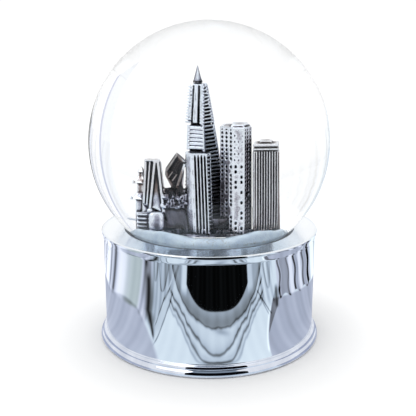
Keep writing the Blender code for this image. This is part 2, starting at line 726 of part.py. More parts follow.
fan = rod("governor_fan", 0.5, 0.5, 15.2, 29.6, FAN_X, FAN_Y, NYLON, 10)
combine(fan, rod("worm_core", 0.6, 0.6, GOV_Z - 2.2, GOV_Z + 2.2, FAN_X, FAN_Y, sides=12, cutter=True))
turns, per_turn = 1.35, 14
for start in range(WORM_STARTS):
    thread_curve = bpy.data.curves.new("worm_thread", "CURVE")
    thread_curve.dimensions = "3D"
    thread_curve.bevel_depth = 0.18 * MM
    thread_curve.bevel_resolution = 1
    thread_curve.use_fill_caps = True
    spline = thread_curve.splines.new("POLY")
    count = int(turns * per_turn) + 1
    spline.points.add(count - 1)
    for k, point in enumerate(spline.points):
        t = k / per_turn - turns / 2
        a = math.pi / 2 + math.tau * (t + start / WORM_STARTS)
        z = GOV_Z + WORM_PITCH / 2 + WORM_LEAD * t
        point.co = (
            (FAN_X + 0.73 * math.cos(a)) * MM, (FAN_Y + 0.73 * math.sin(a)) * MM, z * MM, 1.0,
        )
    thread_guide = bpy.data.objects.new("worm_thread_guide", thread_curve)
    scene.collection.objects.link(thread_guide)
    bpy.context.view_layer.update()
    thread_mesh = bpy.data.meshes.new_from_object(
        thread_guide.evaluated_get(bpy.context.evaluated_depsgraph_get())
    )
    bm = bmesh.new()
    bm.from_mesh(thread_mesh)
    bmesh.ops.remove_doubles(bm, verts=bm.verts, dist=0.000002)
    bmesh.ops.recalc_face_normals(bm, faces=bm.faces)
    bm.to_mesh(thread_mesh)
    bm.free()
    bpy.data.objects.remove(thread_guide, do_unlink=True)
    thread_mesh.materials.clear()
    combine(fan, put(bpy.data.objects.new(f"worm_thread_{start + 1}", thread_mesh), cutter=True))
combine(fan, box("fan_vane_1", (FAN_X - 4.1, FAN_Y - 0.2, 25.3), (FAN_X + 4.1, FAN_Y + 0.2, 28.2), cutter=True))
combine(fan, box("fan_vane_2", (FAN_X - 0.2, FAN_Y - 4.1, 25.3), (FAN_X + 0.2, FAN_Y + 4.1, 28.2), cutter=True))
combine(fan, rod("fan_hub", 1.1, 1.1, 25.0, 28.5, FAN_X, FAN_Y, sides=12, cutter=True))
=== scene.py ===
import json
import math

import bmesh
import bpy
import numpy as np
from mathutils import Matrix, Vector


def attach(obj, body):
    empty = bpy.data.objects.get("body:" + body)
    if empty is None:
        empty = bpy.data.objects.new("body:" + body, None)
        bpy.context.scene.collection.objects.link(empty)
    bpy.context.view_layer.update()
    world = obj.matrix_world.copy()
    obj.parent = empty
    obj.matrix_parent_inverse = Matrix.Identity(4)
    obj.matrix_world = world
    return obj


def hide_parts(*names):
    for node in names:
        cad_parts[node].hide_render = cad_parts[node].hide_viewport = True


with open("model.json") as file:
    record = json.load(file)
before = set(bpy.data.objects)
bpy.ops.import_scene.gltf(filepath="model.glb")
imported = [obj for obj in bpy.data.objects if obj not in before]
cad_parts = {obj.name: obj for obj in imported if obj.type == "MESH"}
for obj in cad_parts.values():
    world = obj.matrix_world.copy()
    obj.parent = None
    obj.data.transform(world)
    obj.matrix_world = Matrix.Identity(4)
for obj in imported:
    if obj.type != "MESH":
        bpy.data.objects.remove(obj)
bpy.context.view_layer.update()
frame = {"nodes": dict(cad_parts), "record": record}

scene = bpy.context.scene
MM = 0.001

# sizes shared with the CAD, in millimetres
BALL_R, BALL_Z, GLASS_T = 50.0, 83.1, 2.2
NECK_R, NECK_BORE, NECK_END = 29.5, 27.0, 34.0
INNER_R = BALL_R - GLASS_T


# ---- nodes and materials -----------------------------------------------------------
def new_material(name):
    mat = bpy.data.materials.new(name)
    mat.use_nodes = True
    return mat, mat.node_tree, mat.node_tree.nodes["Principled BSDF"]


def noise(nt, scale, detail=3.0, rough=0.55, stretch=(1.0, 1.0, 1.0)):
    coord = nt.nodes.new("ShaderNodeTexCoord")
    mapping = nt.nodes.new("ShaderNodeMapping")
    mapping.inputs["Scale"].default_value = stretch
    tex = nt.nodes.new("ShaderNodeTexNoise")
    tex.inputs["Scale"].default_value = scale
    tex.inputs["Detail"].default_value = detail
    tex.inputs["Roughness"].default_value = rough
    nt.links.new(coord.outputs["Object"], mapping.inputs["Vector"])
    nt.links.new(mapping.outputs["Vector"], tex.inputs["Vector"])
    return tex.outputs["Fac"]


def ramp(nt, value, stops):
    node = nt.nodes.new("ShaderNodeValToRGB")
    elements = node.color_ramp.elements
    while len(elements) < len(stops):
        elements.new(0.5)
    for element, (place, colour) in zip(elements, stops):
        element.position = place
        element.color = (*colour, 1.0)
    nt.links.new(value, node.inputs["Fac"])
    return node.outputs["Color"]


def spread(nt, value, low, high, lo_in=0.3, hi_in=0.7):
    node = nt.nodes.new("ShaderNodeMapRange")
    node.inputs["From Min"].default_value = lo_in
    node.inputs["From Max"].default_value = hi_in
    node.inputs["To Min"].default_value = low
    node.inputs["To Max"].default_value = high
    nt.links.new(value, node.inputs["Value"])
    return node.outputs["Result"]


def bump(nt, bsdf, height, depth_mm, strength=1.0):
    node = nt.nodes.new("ShaderNodeBump")
    node.inputs["Distance"].default_value = depth_mm * MM
    node.inputs["Strength"].default_value = strength
    nt.links.new(height, node.inputs["Height"])
    nt.links.new(node.outputs["Normal"], bsdf.inputs["Normal"])


def surface(name, dark, light, scale, rough, metal=0.0, grain=None, depth=0.0, stretch=(1.0, 1.0, 1.0), coat=0.0):
    """A procedural finish: colour that varies, roughness that varies, and a fine grain in relief."""
    mat, nt, bsdf = new_material(name)
    broad = noise(nt, scale, 4.0, 0.6)
    nt.links.new(ramp(nt, broad, ((0.3, dark), (0.7, light))), bsdf.inputs["Base Color"])
    fine = noise(nt, grain or scale * 6, 3.0, 0.6, stretch)
    nt.links.new(spread(nt, fine, *rough), bsdf.inputs["Roughness"])
    bsdf.inputs["Metallic"].default_value = metal
    bsdf.inputs["Coat Weight"].default_value = coat
    if depth:
        bump(nt, bsdf, fine, depth, 0.6)
    return mat


def clear(name, tint_low, tint_high, ior):
    mat, nt, bsdf = new_material(name)
    fac = noise(nt, 90.0, 2.0, 0.5)
    nt.links.new(ramp(nt, fac, ((0.3, tint_low), (0.7, tint_high))), bsdf.inputs["Base Color"])
    bsdf.inputs["Roughness"].default_value = 0.0
    bsdf.inputs["IOR"].default_value = ior
    bsdf.inputs["Transmission Weight"].default_value = 1.0
    return mat


CHROME = surface("chrome_plating", (0.77, 0.81, 0.85), (0.83, 0.865, 0.90), 55.0, (0.012, 0.04), 1.0, 260.0, 0.0006)
# painted shade: a darker, bluer copy of the chrome, used on the foot beads
FOOT = surface("foot_chrome_painted_shade", (0.58, 0.62, 0.71), (0.76, 0.80, 0.88), 110.0, (0.012, 0.04), 1.0, 260.0, 0.0006)
# painted shade: the deck is a darker, bluer and rougher copy of the chrome
DECK_PAINTED_SHADE = surface("deck_chrome_painted_shade", (0.46, 0.56, 0.67), (0.54, 0.65, 0.77), 60.0, (0.15, 0.21), 0.80, 120.0)
nt = DECK_PAINTED_SHADE.node_tree
deck_bsdf = nt.nodes["Principled BSDF"]
turned = nt.nodes.new("ShaderNodeSeparateXYZ")
nt.links.new(nt.nodes.new("ShaderNodeTexCoord").outputs["Object"], turned.inputs[0])
away = nt.nodes.new("ShaderNodeMath")
away.operation = "ABSOLUTE"
nt.links.new(turned.outputs["X"], away.inputs[0])
# painted reflection: from 26 to 40 mm out along X the deck turns pale (0.90, 0.93, 0.97), as if its left and right ends
# mirrored the white studio
painted_edge_sheen = nt.nodes.new("ShaderNodeMix")
painted_edge_sheen.data_type = "RGBA"
nt.links.new(spread(nt, away.outputs[0], 0.0, 1.0, 0.026, 0.040), painted_edge_sheen.inputs[0])
nt.links.new(deck_bsdf.inputs["Base Color"].links[0].from_socket, painted_edge_sheen.inputs[6])
painted_edge_sheen.inputs[7].default_value = (0.90, 0.93, 0.97, 1.0)
nt.links.new(painted_edge_sheen.outputs[2], deck_bsdf.inputs["Base Color"])
GLASS_OUT = clear("ball_glass", (0.985, 0.993, 1.0), (1.0, 1.0, 1.0), 1.5)
GLASS_IN = clear("ball_glass_inside", (0.99, 0.996, 1.0), (1.0, 1.0, 1.0), 1.5 / 1.34)
WATER = clear("ball_water", (0.992, 0.998, 1.0), (1.0, 1.0, 1.0), 1.0)
RESIN = surface("mound_resin", (0.52, 0.66, 0.84), (0.72, 0.86, 0.98), 240.0, (0.12, 0.32), 0.0, 1500.0, 0.03, coat=0.35)
SNOW = surface("settled_snow", (0.34, 0.43, 0.50), (0.62, 0.70, 0.76), 700.0, (0.15, 0.5), 0.0, 2600.0, 0.05)
FLAKE = surface("snow_flake", (0.48, 0.56, 0.62), (0.90, 0.93, 0.96), 900.0, (0.08, 0.25), 0.25, 3000.0, 0.01)
BY_SLOT = {
    "black_rubber": surface("rubber", (0.018, 0.018, 0.02), (0.04, 0.04, 0.044), 160.0, (0.6, 0.85), 0.0, 2200.0, 0.03),
    "grey_plastic": surface("seat_plastic", (0.16, 0.17, 0.18), (0.22, 0.23, 0.24), 120.0, (0.4, 0.6), 0.0, 1800.0, 0.02),
    "black_plastic": surface("plate_plastic", (0.018, 0.018, 0.019), (0.036, 0.036, 0.038), 90.0, (0.35, 0.6), 0.0, 2000.0, 0.03),
    "die_cast_zinc": surface("zinc_casting", (0.42, 0.43, 0.45), (0.58, 0.59, 0.61), 260.0, (0.35, 0.55), 1.0, 2400.0, 0.03),
    "steel": surface("plated_steel", (0.52, 0.53, 0.55), (0.68, 0.69, 0.70), 200.0, (0.18, 0.36), 1.0, 900.0, 0.008, (1.0, 14.0, 1.0)),
    "spring_steel": surface("blued_spring", (0.10, 0.12, 0.18), (0.24, 0.26, 0.32), 150.0, (0.2, 0.38), 1.0, 900.0, 0.008),
    "brass": surface("brass", (0.66, 0.48, 0.20), (0.84, 0.66, 0.33), 170.0, (0.16, 0.34), 1.0, 1100.0, 0.008, (12.0, 1.0, 1.0)),
    "white_nylon": surface("nylon", (0.78, 0.78, 0.73), (0.90, 0.90, 0.86), 220.0, (0.35, 0.55), 0.0, 2000.0, 0.015),
}


# ---- mesh helpers -------------------------------------------------------------------
def mesh_object(name, verts, faces, mats, angle=35.0):
    mesh = bpy.data.meshes.new(name)
    mesh.from_pydata([tuple(v) for v in verts], [], [tuple(f) for f in faces])
    mesh.update()
    obj = bpy.data.objects.new(name, mesh)
    scene.collection.objects.link(obj)
    for mat in mats:
        mesh.materials.append(mat)
    mesh.shade_smooth()
    mesh.set_sharp_from_angle(angle=math.radians(angle))
    return obj


def lathe(name, profile, mats, steps=256, slots=None, closed=True, angle=35.0):
    """Turns a profile of (radius, height), listed with its outer side first going down."""
    verts, rings = [], []
    for r, z in profile:
        if r < 1e-6:
            rings.append([len(verts)])
            verts.append((0.0, 0.0, z * MM))
        else:
            rings.append(list(range(len(verts), len(verts) + steps)))
            for k in range(steps):
                a = math.tau * k / steps
                verts.append((r * math.cos(a) * MM, r * math.sin(a) * MM, z * MM))
    faces, which = [], []
    count = len(rings) if closed else len(rings) - 1
    for i in range(count):
        a, b = rings[i], rings[(i + 1) % len(rings)]
        if len(a) == 1 and len(b) == 1:
            continue
        for k in range(steps):
            k2 = (k + 1) % steps
            if len(a) == 1:
                faces.append((a[0], b[k], b[k2]))
            elif len(b) == 1:
                faces.append((a[k2], a[k], b[0]))
            else:
                faces.append((a[k2], a[k], b[k], b[k2]))
            which.append(slots[i] if slots else 0)
    obj = mesh_object(name, verts, faces, mats, angle)
    obj.data.polygons.foreach_set("material_index", which)
    bm = bmesh.new()
    bm.from_mesh(obj.data)
    bmesh.ops.recalc_face_normals(bm, faces=bm.faces)
    bm.to_mesh(obj.data)
    bm.free()
    return obj


def arc(cx, cz, r, a0, a1, n):
    return [
        (cx + r * math.cos(math.radians(a0 + (a1 - a0) * k / n)), cz + r * math.sin(math.radians(a0 + (a1 - a0) * k / n)))
        for k in range(n + 1)
    ]


# ---- the chrome drum -------------------------------------------------------------------
SEAL = surface("sealing_line", (0.05, 0.065, 0.085), (0.11, 0.13, 0.16), 300.0, (0.35, 0.6), 0.0, 1500.0, 0.01)
drum_profile = (
    [(35.32, 46.4), (35.32, 47.5), (35.5, 47.6), (36.45, 47.6), (39.0, 47.6), (44.2, 47.6)]
    + arc(45.45, 47.35, 0.55, 153.0, 0.0, 14)
    + [(46.0, 47.05), (45.97, 46.82), (45.88, 46.55), (45.7, 45.95), (45.5, 45.25), (45.37, 44.75), (45.31, 44.4), (45.3, 44.2), (45.3, 44.0)]
    + [(45.3, 43.9 - 1.95 * k) for k in range(21)]
    + [(45.3, 4.72), (45.31, 4.6)]
    + [(45.36, 4.5), (45.5, 4.36), (45.8, 4.26), (46.15, 4.18), (46.38, 4.06), (46.5, 3.9)]
    + [(46.6, 3.62), (46.72, 3.3), (46.77, 3.12), (46.76, 2.96), (46.81, 2.8), (46.95, 2.63), (47.15, 2.43), (47.35, 2.23)]
    + [(47.47, 2.06), (47.54, 1.9), (47.65, 1.6), (47.74, 1.32), (47.8, 1.05), (47.82, 0.8), (47.73, 0.4)]
    + [(47.52, 0.15), (47.3, 0.0), (46.9, 0.0), (44.3, 0.0), (44.1, 0.2), (44.1, 46.4)]
)
foot_top = drum_profile.index((45.31, 4.6))
# slot 3 puts the darker copy of the chrome, painted shade, on the foot beads below 4.6 mm
drum_slots = [2 if k < 3 else 1 if k < 6 else 0 if k < foot_top or k > foot_top + 25 else 3 for k in range(len(drum_profile))]
drum = lathe("chrome_drum", drum_profile, [CHROME, DECK_PAINTED_SHADE, SEAL, FOOT], 288, drum_slots, angle=50.0)
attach(drum, "globe")
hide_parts("base_shell")


# ---- the glass ball and the water -----------------------------------------------------------
def sphere_arc(radius, low_r, n):
    """From the pole down to where the ball meets a neck of the given radius."""
    end = math.pi - math.asin(low_r / radius)
    return [(radius * math.sin(end * k / n), BALL_Z + radius * math.cos(end * k / n)) for k in range(n + 1)]


outside = sphere_arc(BALL_R, NECK_R, 120)
outside[0] = (0.0, BALL_Z + BALL_R)
inside = sphere_arc(INNER_R, NECK_BORE, 120)
inside[0] = (0.0, BALL_Z + INNER_R)
neck_out = [(NECK_R, z) for z in (41.0, 38.0, 35.0)] + [(NECK_R - 0.3, NECK_END)]
neck_in = [(NECK_BORE + 0.3, NECK_END), (NECK_BORE, 35.0), (NECK_BORE, 38.0), (NECK_BORE, 41.5)]
glass_profile = outside + neck_out + neck_in + inside[::-1]
glass_slots = [0] * (len(outside) + len(neck_out)) + [1] * (len(neck_in) + len(inside))
glass = lathe("glass_ball", glass_profile, [GLASS_OUT, GLASS_IN], 256, glass_slots, closed=False, angle=60.0)
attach(glass, "globe")
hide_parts("glass_globe")

WATER_R, WATER_FLOOR = INNER_R - 0.3, 48.3
rim = math.sqrt(WATER_R ** 2 - (BALL_Z - WATER_FLOOR) ** 2)
end = math.pi - math.asin(rim / WATER_R)
water_profile = [(WATER_R * math.sin(end * k / 90), BALL_Z + WATER_R * math.cos(end * k / 90)) for k in range(91)]
water_profile[0] = (0.0, BALL_Z + WATER_R)
water_profile += [
    (26.75, WATER_FLOOR), (26.6, 49.4), (25.85, 50.85), (24.65, 52.15), (23.05, 53.35), (21.6, 53.62), (0.0, 53.62),
]
water = lathe("water_fill", water_profile, [WATER], 160, closed=False, angle=60.0)
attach(water, "globe")
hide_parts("water")
for clear_piece in (glass, water):
    clear_piece.visible_shadow = False

# ---- the mound and the settled snow -----------------------------------------------------------
rng = np.random.default_rng(7)
mound_profile = (
    [(0.0, 53.4)] + [(1.5 * k, 53.4) for k in range(2, 14)] + [(20.6, 53.4), (21.5, 53.38)]
    + [(21.5 + 4.7 * math.sin(t), 48.9 + 4.48 * math.cos(t)) for t in np.linspace(0.15, math.pi / 2, 16)]
    + [(26.2, 47.5), (26.2, 44.3), (0.0, 44.3)]
)
mound = lathe("snowy_mound", mound_profile, [RESIN], 256, closed=False)
co = np.empty(len(mound.data.vertices) * 3)
mound.data.vertices.foreach_get("co", co)
co = co.reshape(-1, 3)
az = np.arctan2(co[:, 1], co[:, 0])
rad = np.hypot(co[:, 0], co[:, 1])
lumps = sum(np.sin(k * az + p) * a for k, p, a in ((7, 0.4, 0.10), (13, 2.0, 0.08), (23, 4.1, 0.05), (41, 1.3, 0.03)))
on_slope = np.clip((rad / MM - 20.0) / 3.0, 0, 1) * np.clip((co[:, 2] / MM - 47.8) / 1.0, 0, 1)
shrink = 1.0 - (0.16 + lumps) * on_slope * MM / np.maximum(rad, 1e-6)
co[:, 0] *= shrink
co[:, 1] *= shrink
ends = np.clip((np.abs(np.cos(az + 0.12 * np.sign(np.cos(az)))) - 0.30) / 0.55, 0, 1)
ends = ends * ends * (3 - 2 * ends)
r_mm, z_now = rad / MM, co[:, 2] / MM
out_r = np.clip((r_mm - 9.0) / 12.0, 0, 1)
drift = ends * (2.15 + 0.22 * np.sin(9 * az + 0.4 * r_mm) + 0.12 * np.sin(21 * az)) * out_r * out_r * (3 - 2 * out_r)
co[:, 2] += drift * np.clip((z_now - 47.8) / 2.5, 0, 1) * MM
grow = 1.0 + ends * 2.3 * np.clip((r_mm - 15.0) / 6.0, 0, 1) * np.clip((26.0 - r_mm) / 4.5, 0, 1) / np.maximum(r_mm, 1.0)
co[:, 0] *= grow
co[:, 1] *= grow
mound.data.vertices.foreach_set("co", co.ravel())
mound.data.update()
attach(mound, "globe")
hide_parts("figurine_plinth")


def flakes(name, places, mat):
    """Small thin hexagonal flakes, each a closed plate."""
    verts, faces = [], []
    for (x, y, z), size, tilt, turn in places:
        normal = Vector((math.sin(tilt) * math.cos(turn), math.sin(tilt) * math.sin(turn), math.cos(tilt)))
        side = normal.orthogonal().normalized()
        other = normal.cross(side)
        base = len(verts)
        for h in (-0.03, 0.03):
            for k in range(6):
                a = math.tau * k / 6 + turn
                reach = size * (1.0 if k % 2 else 0.82)
                p = Vector((x, y, z)) + side * (reach * math.cos(a)) + other * (reach * math.sin(a)) + normal * h
                verts.append(tuple(p * MM))
        faces.append(tuple(base + k for k in range(5, -1, -1)))
        faces.append(tuple(base + 6 + k for k in range(6)))
        for k in range(6):
            faces.append((base + k, base + (k + 1) % 6, base + 6 + (k + 1) % 6, base + 6 + k))
    return mesh_object(name, verts, faces, [mat], 20.0)


bed_profile = [(26.62, 47.4), (27.4, 47.78), (28.6, 47.95), (30.0, 47.9), (31.2, 47.8), (31.75, 47.6), (30.2, 46.0), (28.6, 44.9), (26.62, 44.9)]
bed = lathe("snow_bed_top", bed_profile, [SNOW], 200)
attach(bed, "globe")
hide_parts("snow_bed")

places = []
for _ in range(1500):
    a = rng.uniform(0, math.tau)
    r = rng.uniform(26.9, 31.4)
    places.append(((r * math.cos(a), r * math.sin(a), 48.02 + rng.uniform(0, 0.2)), rng.uniform(0.18, 0.42), rng.uniform(0, 0.5), rng.uniform(0, math.tau)))
for _ in range(700):
    a = rng.uniform(0, math.tau) if rng.random() < 0.55 else rng.normal(-0.85, 0.25)
    t = rng.uniform(0.25, 1.45)
    r, z = 21.55 + 4.7 * math.sin(t), 48.95 + 4.48 * math.cos(t)
    places.append(((r * math.cos(a), r * math.sin(a), z), rng.uniform(0.15, 0.33), rng.uniform(0.2, 1.2), a + rng.uniform(-0.6, 0.6)))
loose = flakes("settled_flakes", places, FLAKE)
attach(loose, "globe")


# ---- the skyline casting ------------------------------------------------------------------
class Casting:
    """Collects overlapping closed blocks, in millimetres, to be fused into one casting."""

    def __init__(self):
        self.verts, self.faces = [], []

    def add(self, verts, faces):
        base = len(self.verts)
        self.verts += [tuple(float(c) for c in v) for v in verts]
        self.faces += [tuple(base + i for i in f) for f in faces]

    def loft(self, bottom, top):
        n = len(bottom)
        sides = [(k, (k + 1) % n, n + (k + 1) % n, n + k) for k in range(n)]
        self.add(list(bottom) + list(top), [tuple(range(n - 1, -1, -1)), tuple(range(n, 2 * n))] + sides)

    def block(self, lo, hi, turn=0.0, lean=0.0):
        cx, cy = (lo[0] + hi[0]) / 2, (lo[1] + hi[1]) / 2
        c, s = math.cos(math.radians(turn)), math.sin(math.radians(turn))

        def ring(z, shift):
            out = []
            for x, y in ((lo[0], lo[1]), (hi[0], lo[1]), (hi[0], hi[1]), (lo[0], hi[1])):
                dx, dy = x - cx, y - cy
                out.append((cx + dx * c - dy * s + shift, cy + dx * s + dy * c, z))
            return out

        self.loft(ring(lo[2], 0.0), ring(hi[2], lean))

    def cone(self, x, y, z0, z1, r0, r1, n=12, turn=0.0):
        def ring(z, r):
            return [(x + r * math.cos(turn + math.tau * k / n), y + r * math.sin(turn + math.tau * k / n), z) for k in range(n)]
        self.loft(ring(z0, r0), ring(z1, r1))

    def lump(self, centre, radii, power=2.6, n=14):
        """A rounded, slightly boxy body."""
        verts, faces = [], []

        def sp(v):
            return math.copysign(abs(v) ** (2.0 / power), v)
        for i in range(1, n):
            t = math.pi * i / n - math.pi / 2
            for k in range(2 * n):
                p = math.tau * k / (2 * n)
                verts.append((
                    centre[0] + radii[0] * sp(math.cos(t)) * sp(math.cos(p)),
                    centre[1] + radii[1] * sp(math.cos(t)) * sp(math.sin(p)),
                    centre[2] + radii[2] * sp(math.sin(t)),
                ))
        for i in range(n - 2):
            for k in range(2 * n):
                a, b = i * 2 * n + k, i * 2 * n + (k + 1) % (2 * n)
                faces.append((a, b, b + 2 * n, a + 2 * n))
        low, high = len(verts), len(verts) + 1
        verts += [(centre[0], centre[1], centre[2] - radii[2]), (centre[0], centre[1], centre[2] + radii[2])]
        for k in range(2 * n):
            faces.append((low, (k + 1) % (2 * n), k))
            last = (n - 2) * 2 * n
            faces.append((high, last + k, last + (k + 1) % (2 * n)))
        self.add(verts, faces)

    def bar(self, p, q, width, depth):
        """A straight bar from p to q; width lies across it, depth goes back along Y."""
        p, q = Vector(p), Vector(q)
        along = (q - p).normalized()
        across = along.cross(Vector((0, 1, 0))).normalized() * width / 2
        back = Vector((0, depth, 0))
        ring_p = [p - across, p + across, p + across + back, p - across + back]
        ring_q = [q - across, q + across, q + across + back, q - across + back]
        self.loft([tuple(v) for v in ring_p], [tuple(v) for v in ring_q])


class Face:
    """One side of a tower: u runs along it, v up it and h out of it in millimetres."""

    def __init__(self, cast, ll, lr, ul, ur):
        self.cast = cast
        self.c = [Vector(p) for p in (ll, lr, ul, ur)]
        self.wide = (self.c[1] - self.c[0]).length
        self.tall = ((self.c[2] - self.c[0]).length + (self.c[3] - self.c[1]).length) / 2
        self.n = (self.c[1] - self.c[0]).cross(self.c[2] - self.c[0]).normalized()

    def at(self, u, v, h):
        low = self.c[0].lerp(self.c[1], u)
        high = self.c[2].lerp(self.c[3], u)
        return tuple(low.lerp(high, v) + self.n * h)

    def pad(self, u0, u1, v0, v1, h1, h0=-0.9):
        corners = [(u0, v0), (u1, v0), (u1, v1), (u0, v1)]
        self.cast.loft([self.at(u, v, h0) for u, v in corners], [self.at(u, v, h1) for u, v in corners])


def sides(cast, bottom, top):
    n = len(bottom)
    return [Face(cast, bottom[k], bottom[(k + 1) % n], top[k], top[(k + 1) % n]) for k in range(n)]


def inset(ring, amount):
    """Moves a ring's corners in towards its centre."""
    c = sum((Vector(p) for p in ring), Vector()) / len(ring)
    out = []
    for p in ring:
        d = Vector(p) - c
        flat = Vector((d.x, d.y, 0.0))
        keep = max(0.1, 1.0 - amount * 1.25 / max(flat.length, 1e-6))
        out.append((c.x + d.x * keep, c.y + d.y * keep, p[2]))
    return out


def lattice(face, columns, pitch, hole_u, hole_v, depth=0.0, skip=0.0, seed=1, v_lo=0.0, v_hi=1.0):
    """A wall with rows of window holes; some holes are left blind."""
    pick = np.random.default_rng(seed)
    rows = max(1, int(face.tall * (v_hi - v_lo) / pitch))
    dv = (v_hi - v_lo) / rows
    edges = [0.0]
    for k in range(columns):
        mid = (k + 0.5) / columns
        edges += [mid - hole_u / face.wide / 2, mid + hole_u / face.wide / 2]
    edges.append(1.0)
    for k in range(0, len(edges), 2):
        face.pad(edges[k], edges[k + 1], v_lo, v_hi, depth)
    for k in range(columns):
        u0, u1 = edges[2 * k + 1], edges[2 * k + 2]
        for row in range(rows):
            v0 = v_lo + row * dv
            face.pad(u0, u1, v0, v0 + dv * (1.0 - hole_v / pitch), depth)
            if pick.random() < skip:
                face.pad(u0, u1, v0, v0 + dv, depth)


city = Casting()
FOOT = 53.7

# the low rough foot of the casting
for k in range(26):
    a = math.tau * k / 26
    r = 18.2 + 1.5 * math.sin(3 * a) + 0.8 * math.sin(7 * a + 1)
    city.cone(r * 0.55 * math.cos(a) - 0.4, r * 0.27 * math.sin(a), FOOT, 54.5 + 0.3 * math.sin(5 * a), 4.2, 3.4, 14)
for k in range(15):
    x = -19.6 + 2.8 * k
    city.block((x - 1.6, -4.6 + 0.011 * x * x, FOOT), (x + 1.6, 5.2, 54.3 + 0.2 * math.sin(k * 1.9)))

# the tall tapered tower
levels = (
    (FOOT, ((-8.2, -0.6), (-0.9, -4.4), (6.4, 5.4), (-1.6, 7.4))),
    (81.0, ((-7.21, 0.0), (-1.67, -2.0), (2.99, 4.0), (-2.6, 6.0))),
    (89.2, ((-6.9, 1.0), (-1.94, -1.0), (1.59, 3.0), (-3.4, 5.0))),
    (101.6, ((-5.99, 1.0), (-1.93, 0.0), (-0.68, 2.0), (-4.74, 3.0))),
)
for (z0, low), (z1, high) in zip(levels, levels[1:]):
    b = [(x, y, z0) for x, y in low]
    t = [(x, y, z1) for x, y in high]
    city.loft(inset(b, 0.85), inset(t, 0.85 if z1 < 100 else 0.55))
    for number, face in enumerate(sides(city, b, t)):
        if number % 2:      # slatted sides
            rows = max(4, round(face.tall / 1.15))
            for row in range(rows):
                face.pad(0.06, 1.0, (row + 0.12) / rows, (row + 0.54) / rows, 0.0)
            face.pad(0.0, 0.12, 0.0, 1.0, 0.02)
            if number == 1:
                face.pad(0.93, 1.0, 0.0, 1.0, 0.0)
        elif z0 > 85:       # the upper panel, with its bar and serrated edge
            face.pad(0.34, 0.46, 0.02, 0.99, 0.10)
            face.pad(0.50, 0.62, 0.02, 0.97, 0.22)
            face.pad(0.80, 1.0, 0.0, 1.0, 0.04)
            rows = 14
            for row in range(rows):
                face.pad(0.0, 0.24, (row + 0.15) / rows, (row + 0.72) / rows, 0.08)
                face.pad(0.74, 0.82, (row + 0.2) / rows, (row + 0.7) / rows, 0.0)
            face.pad(0.0, 1.0, 0.965, 1.0, 0.06)
            for row in range(13):
                for u, out in ((0.0, -0.38), (1.0, 0.2)):
                    x, y, z = face.at(u, (row + 0.6) / 13.6, 0.0)
                    city.block((x - 0.35 + out, y - 0.3, z - 0.19), (x + 0.35 + out * 0.4, y + 0.5, z + 0.19))
        elif z0 > 75:       # the banded lower panel
            for row in range(6):
                face.pad(0.0, 1.0, 0.05 + row * 0.148, 0.05 + row * 0.148 + 0.10, 0.06)
            face.pad(0.02, 0.98, 0.05, 0.93, -0.22)
        else:
            rows = max(4, round(face.tall / 1.15))
            for row in range(rows):
                face.pad(0.0, 1.0, (row + 0.12) / rows, (row + 0.62) / rows, 0.0)
city.cone(-3.6, 1.6, 101.0, 102.9, 1.0, 0.95, 14)
city.cone(-3.6, 1.5, 101.9, 102.75, 1.62, 1.3, 14)
city.cone(-3.63, 1.7, 102.5, 107.2, 1.32, 0.13, 14)

# the ribbed tower in front
b = [(-4.7, -6.0, FOOT), (0.48, -5.0, FOOT), (1.26, -3.0, FOOT), (0.9, 0.2, FOOT), (-6.9, 0.0, FOOT), (-6.81, -4.0, FOOT)]
t = [(-5.64, -6.0, 80.7), (-0.51, -5.0, 80.5), (0.47, -3.0, 80.3), (0.1, 0.2, 80.3), (-7.6, 0.0, 80.4), (-7.45, -4.0, 80.5)]
city.loft(inset(b, 0.62), inset(t, 0.62))
for number, face in enumerate(sides(city, b, t)):
    if number in (0, 3):
        count = 5 if number == 0 else 8
        for k in range(count):
            u = (k + 0.5) / count
            w = 0.22 / count
            face.pad(u - w, u + w, 0.0, 0.972, 0.14)
            face.pad(u - w * 0.5, u + w * 0.5, 0.0, 0.965, 0.26)
            face.pad(u - w * 1.5, u - w * 0.7, 0.955, 0.985, 0.05)
            face.pad(u + w * 0.7, u + w * 1.5, 0.955, 0.985, 0.05)
        face.pad(0.0, 1.0, 0.982, 1.0, 0.1)
        face.pad(0.0, 1.0, 0.0, 0.012, 0.1)
    elif number == 1:
        for row in range(22):
            face.pad(0.15, 1.0, (row + 0.2) / 22, (row + 0.6) / 22, -0.1)
    else:
        face.pad(0.0, 1.0, 0.0, 1.0, 0.0)

# the tower with rows of windows
plan = ((7.4, -3.3), (11.05, -3.7), (13.3, -1.0), (12.7, 4.2), (4.4, 4.6), (3.3, -0.6))
b = [(x, y, FOOT) for x, y in plan]
t = [(x, y, 88.3) for x, y in plan]
city.loft(inset(b, 0.6), inset(t, 0.6))
for number, face in enumerate(sides(city, b, t)):
    if number == 0:
        lattice(face, 2, 1.6, 0.66, 0.95, 0.02, 0.42, 5, 0.0, 0.66)
        lattice(face, 3, 1.7, 0.34, 0.50, 0.02, 0.30, 6, 0.66, 0.94)
        face.pad(0.0, 1.0, 0.94, 1.0, 0.02)
    elif number == 5:
        lattice(face, 3, 1.3, 0.72, 0.74, 0.0, 0.10, 9)
    elif number == 1:
        lattice(face, 3, 1.25, 0.66, 0.78, 0.0, 0.05, 12)
    else:
        lattice(face, 5, 1.5, 0.6, 0.75, 0.0, 0.2, 20 + number)
city.loft(inset([(x, y, 87.9) for x, y in plan], -0.05), inset([(x, y, 88.6) for x, y in plan], 0.15))
city.loft([(6.6, -2.7, 88.3), (11.0, -3.1, 88.3), (12.7, -0.8, 88.3), (12.0, 3.7, 88.3), (7.2, 3.9, 88.3)],
          [(6.9, -2.4, 89.3), (10.8, -2.8, 89.3), (12.3, -0.7, 89.3), (11.6, 3.3, 89.3), (7.5, 3.5, 89.3)])

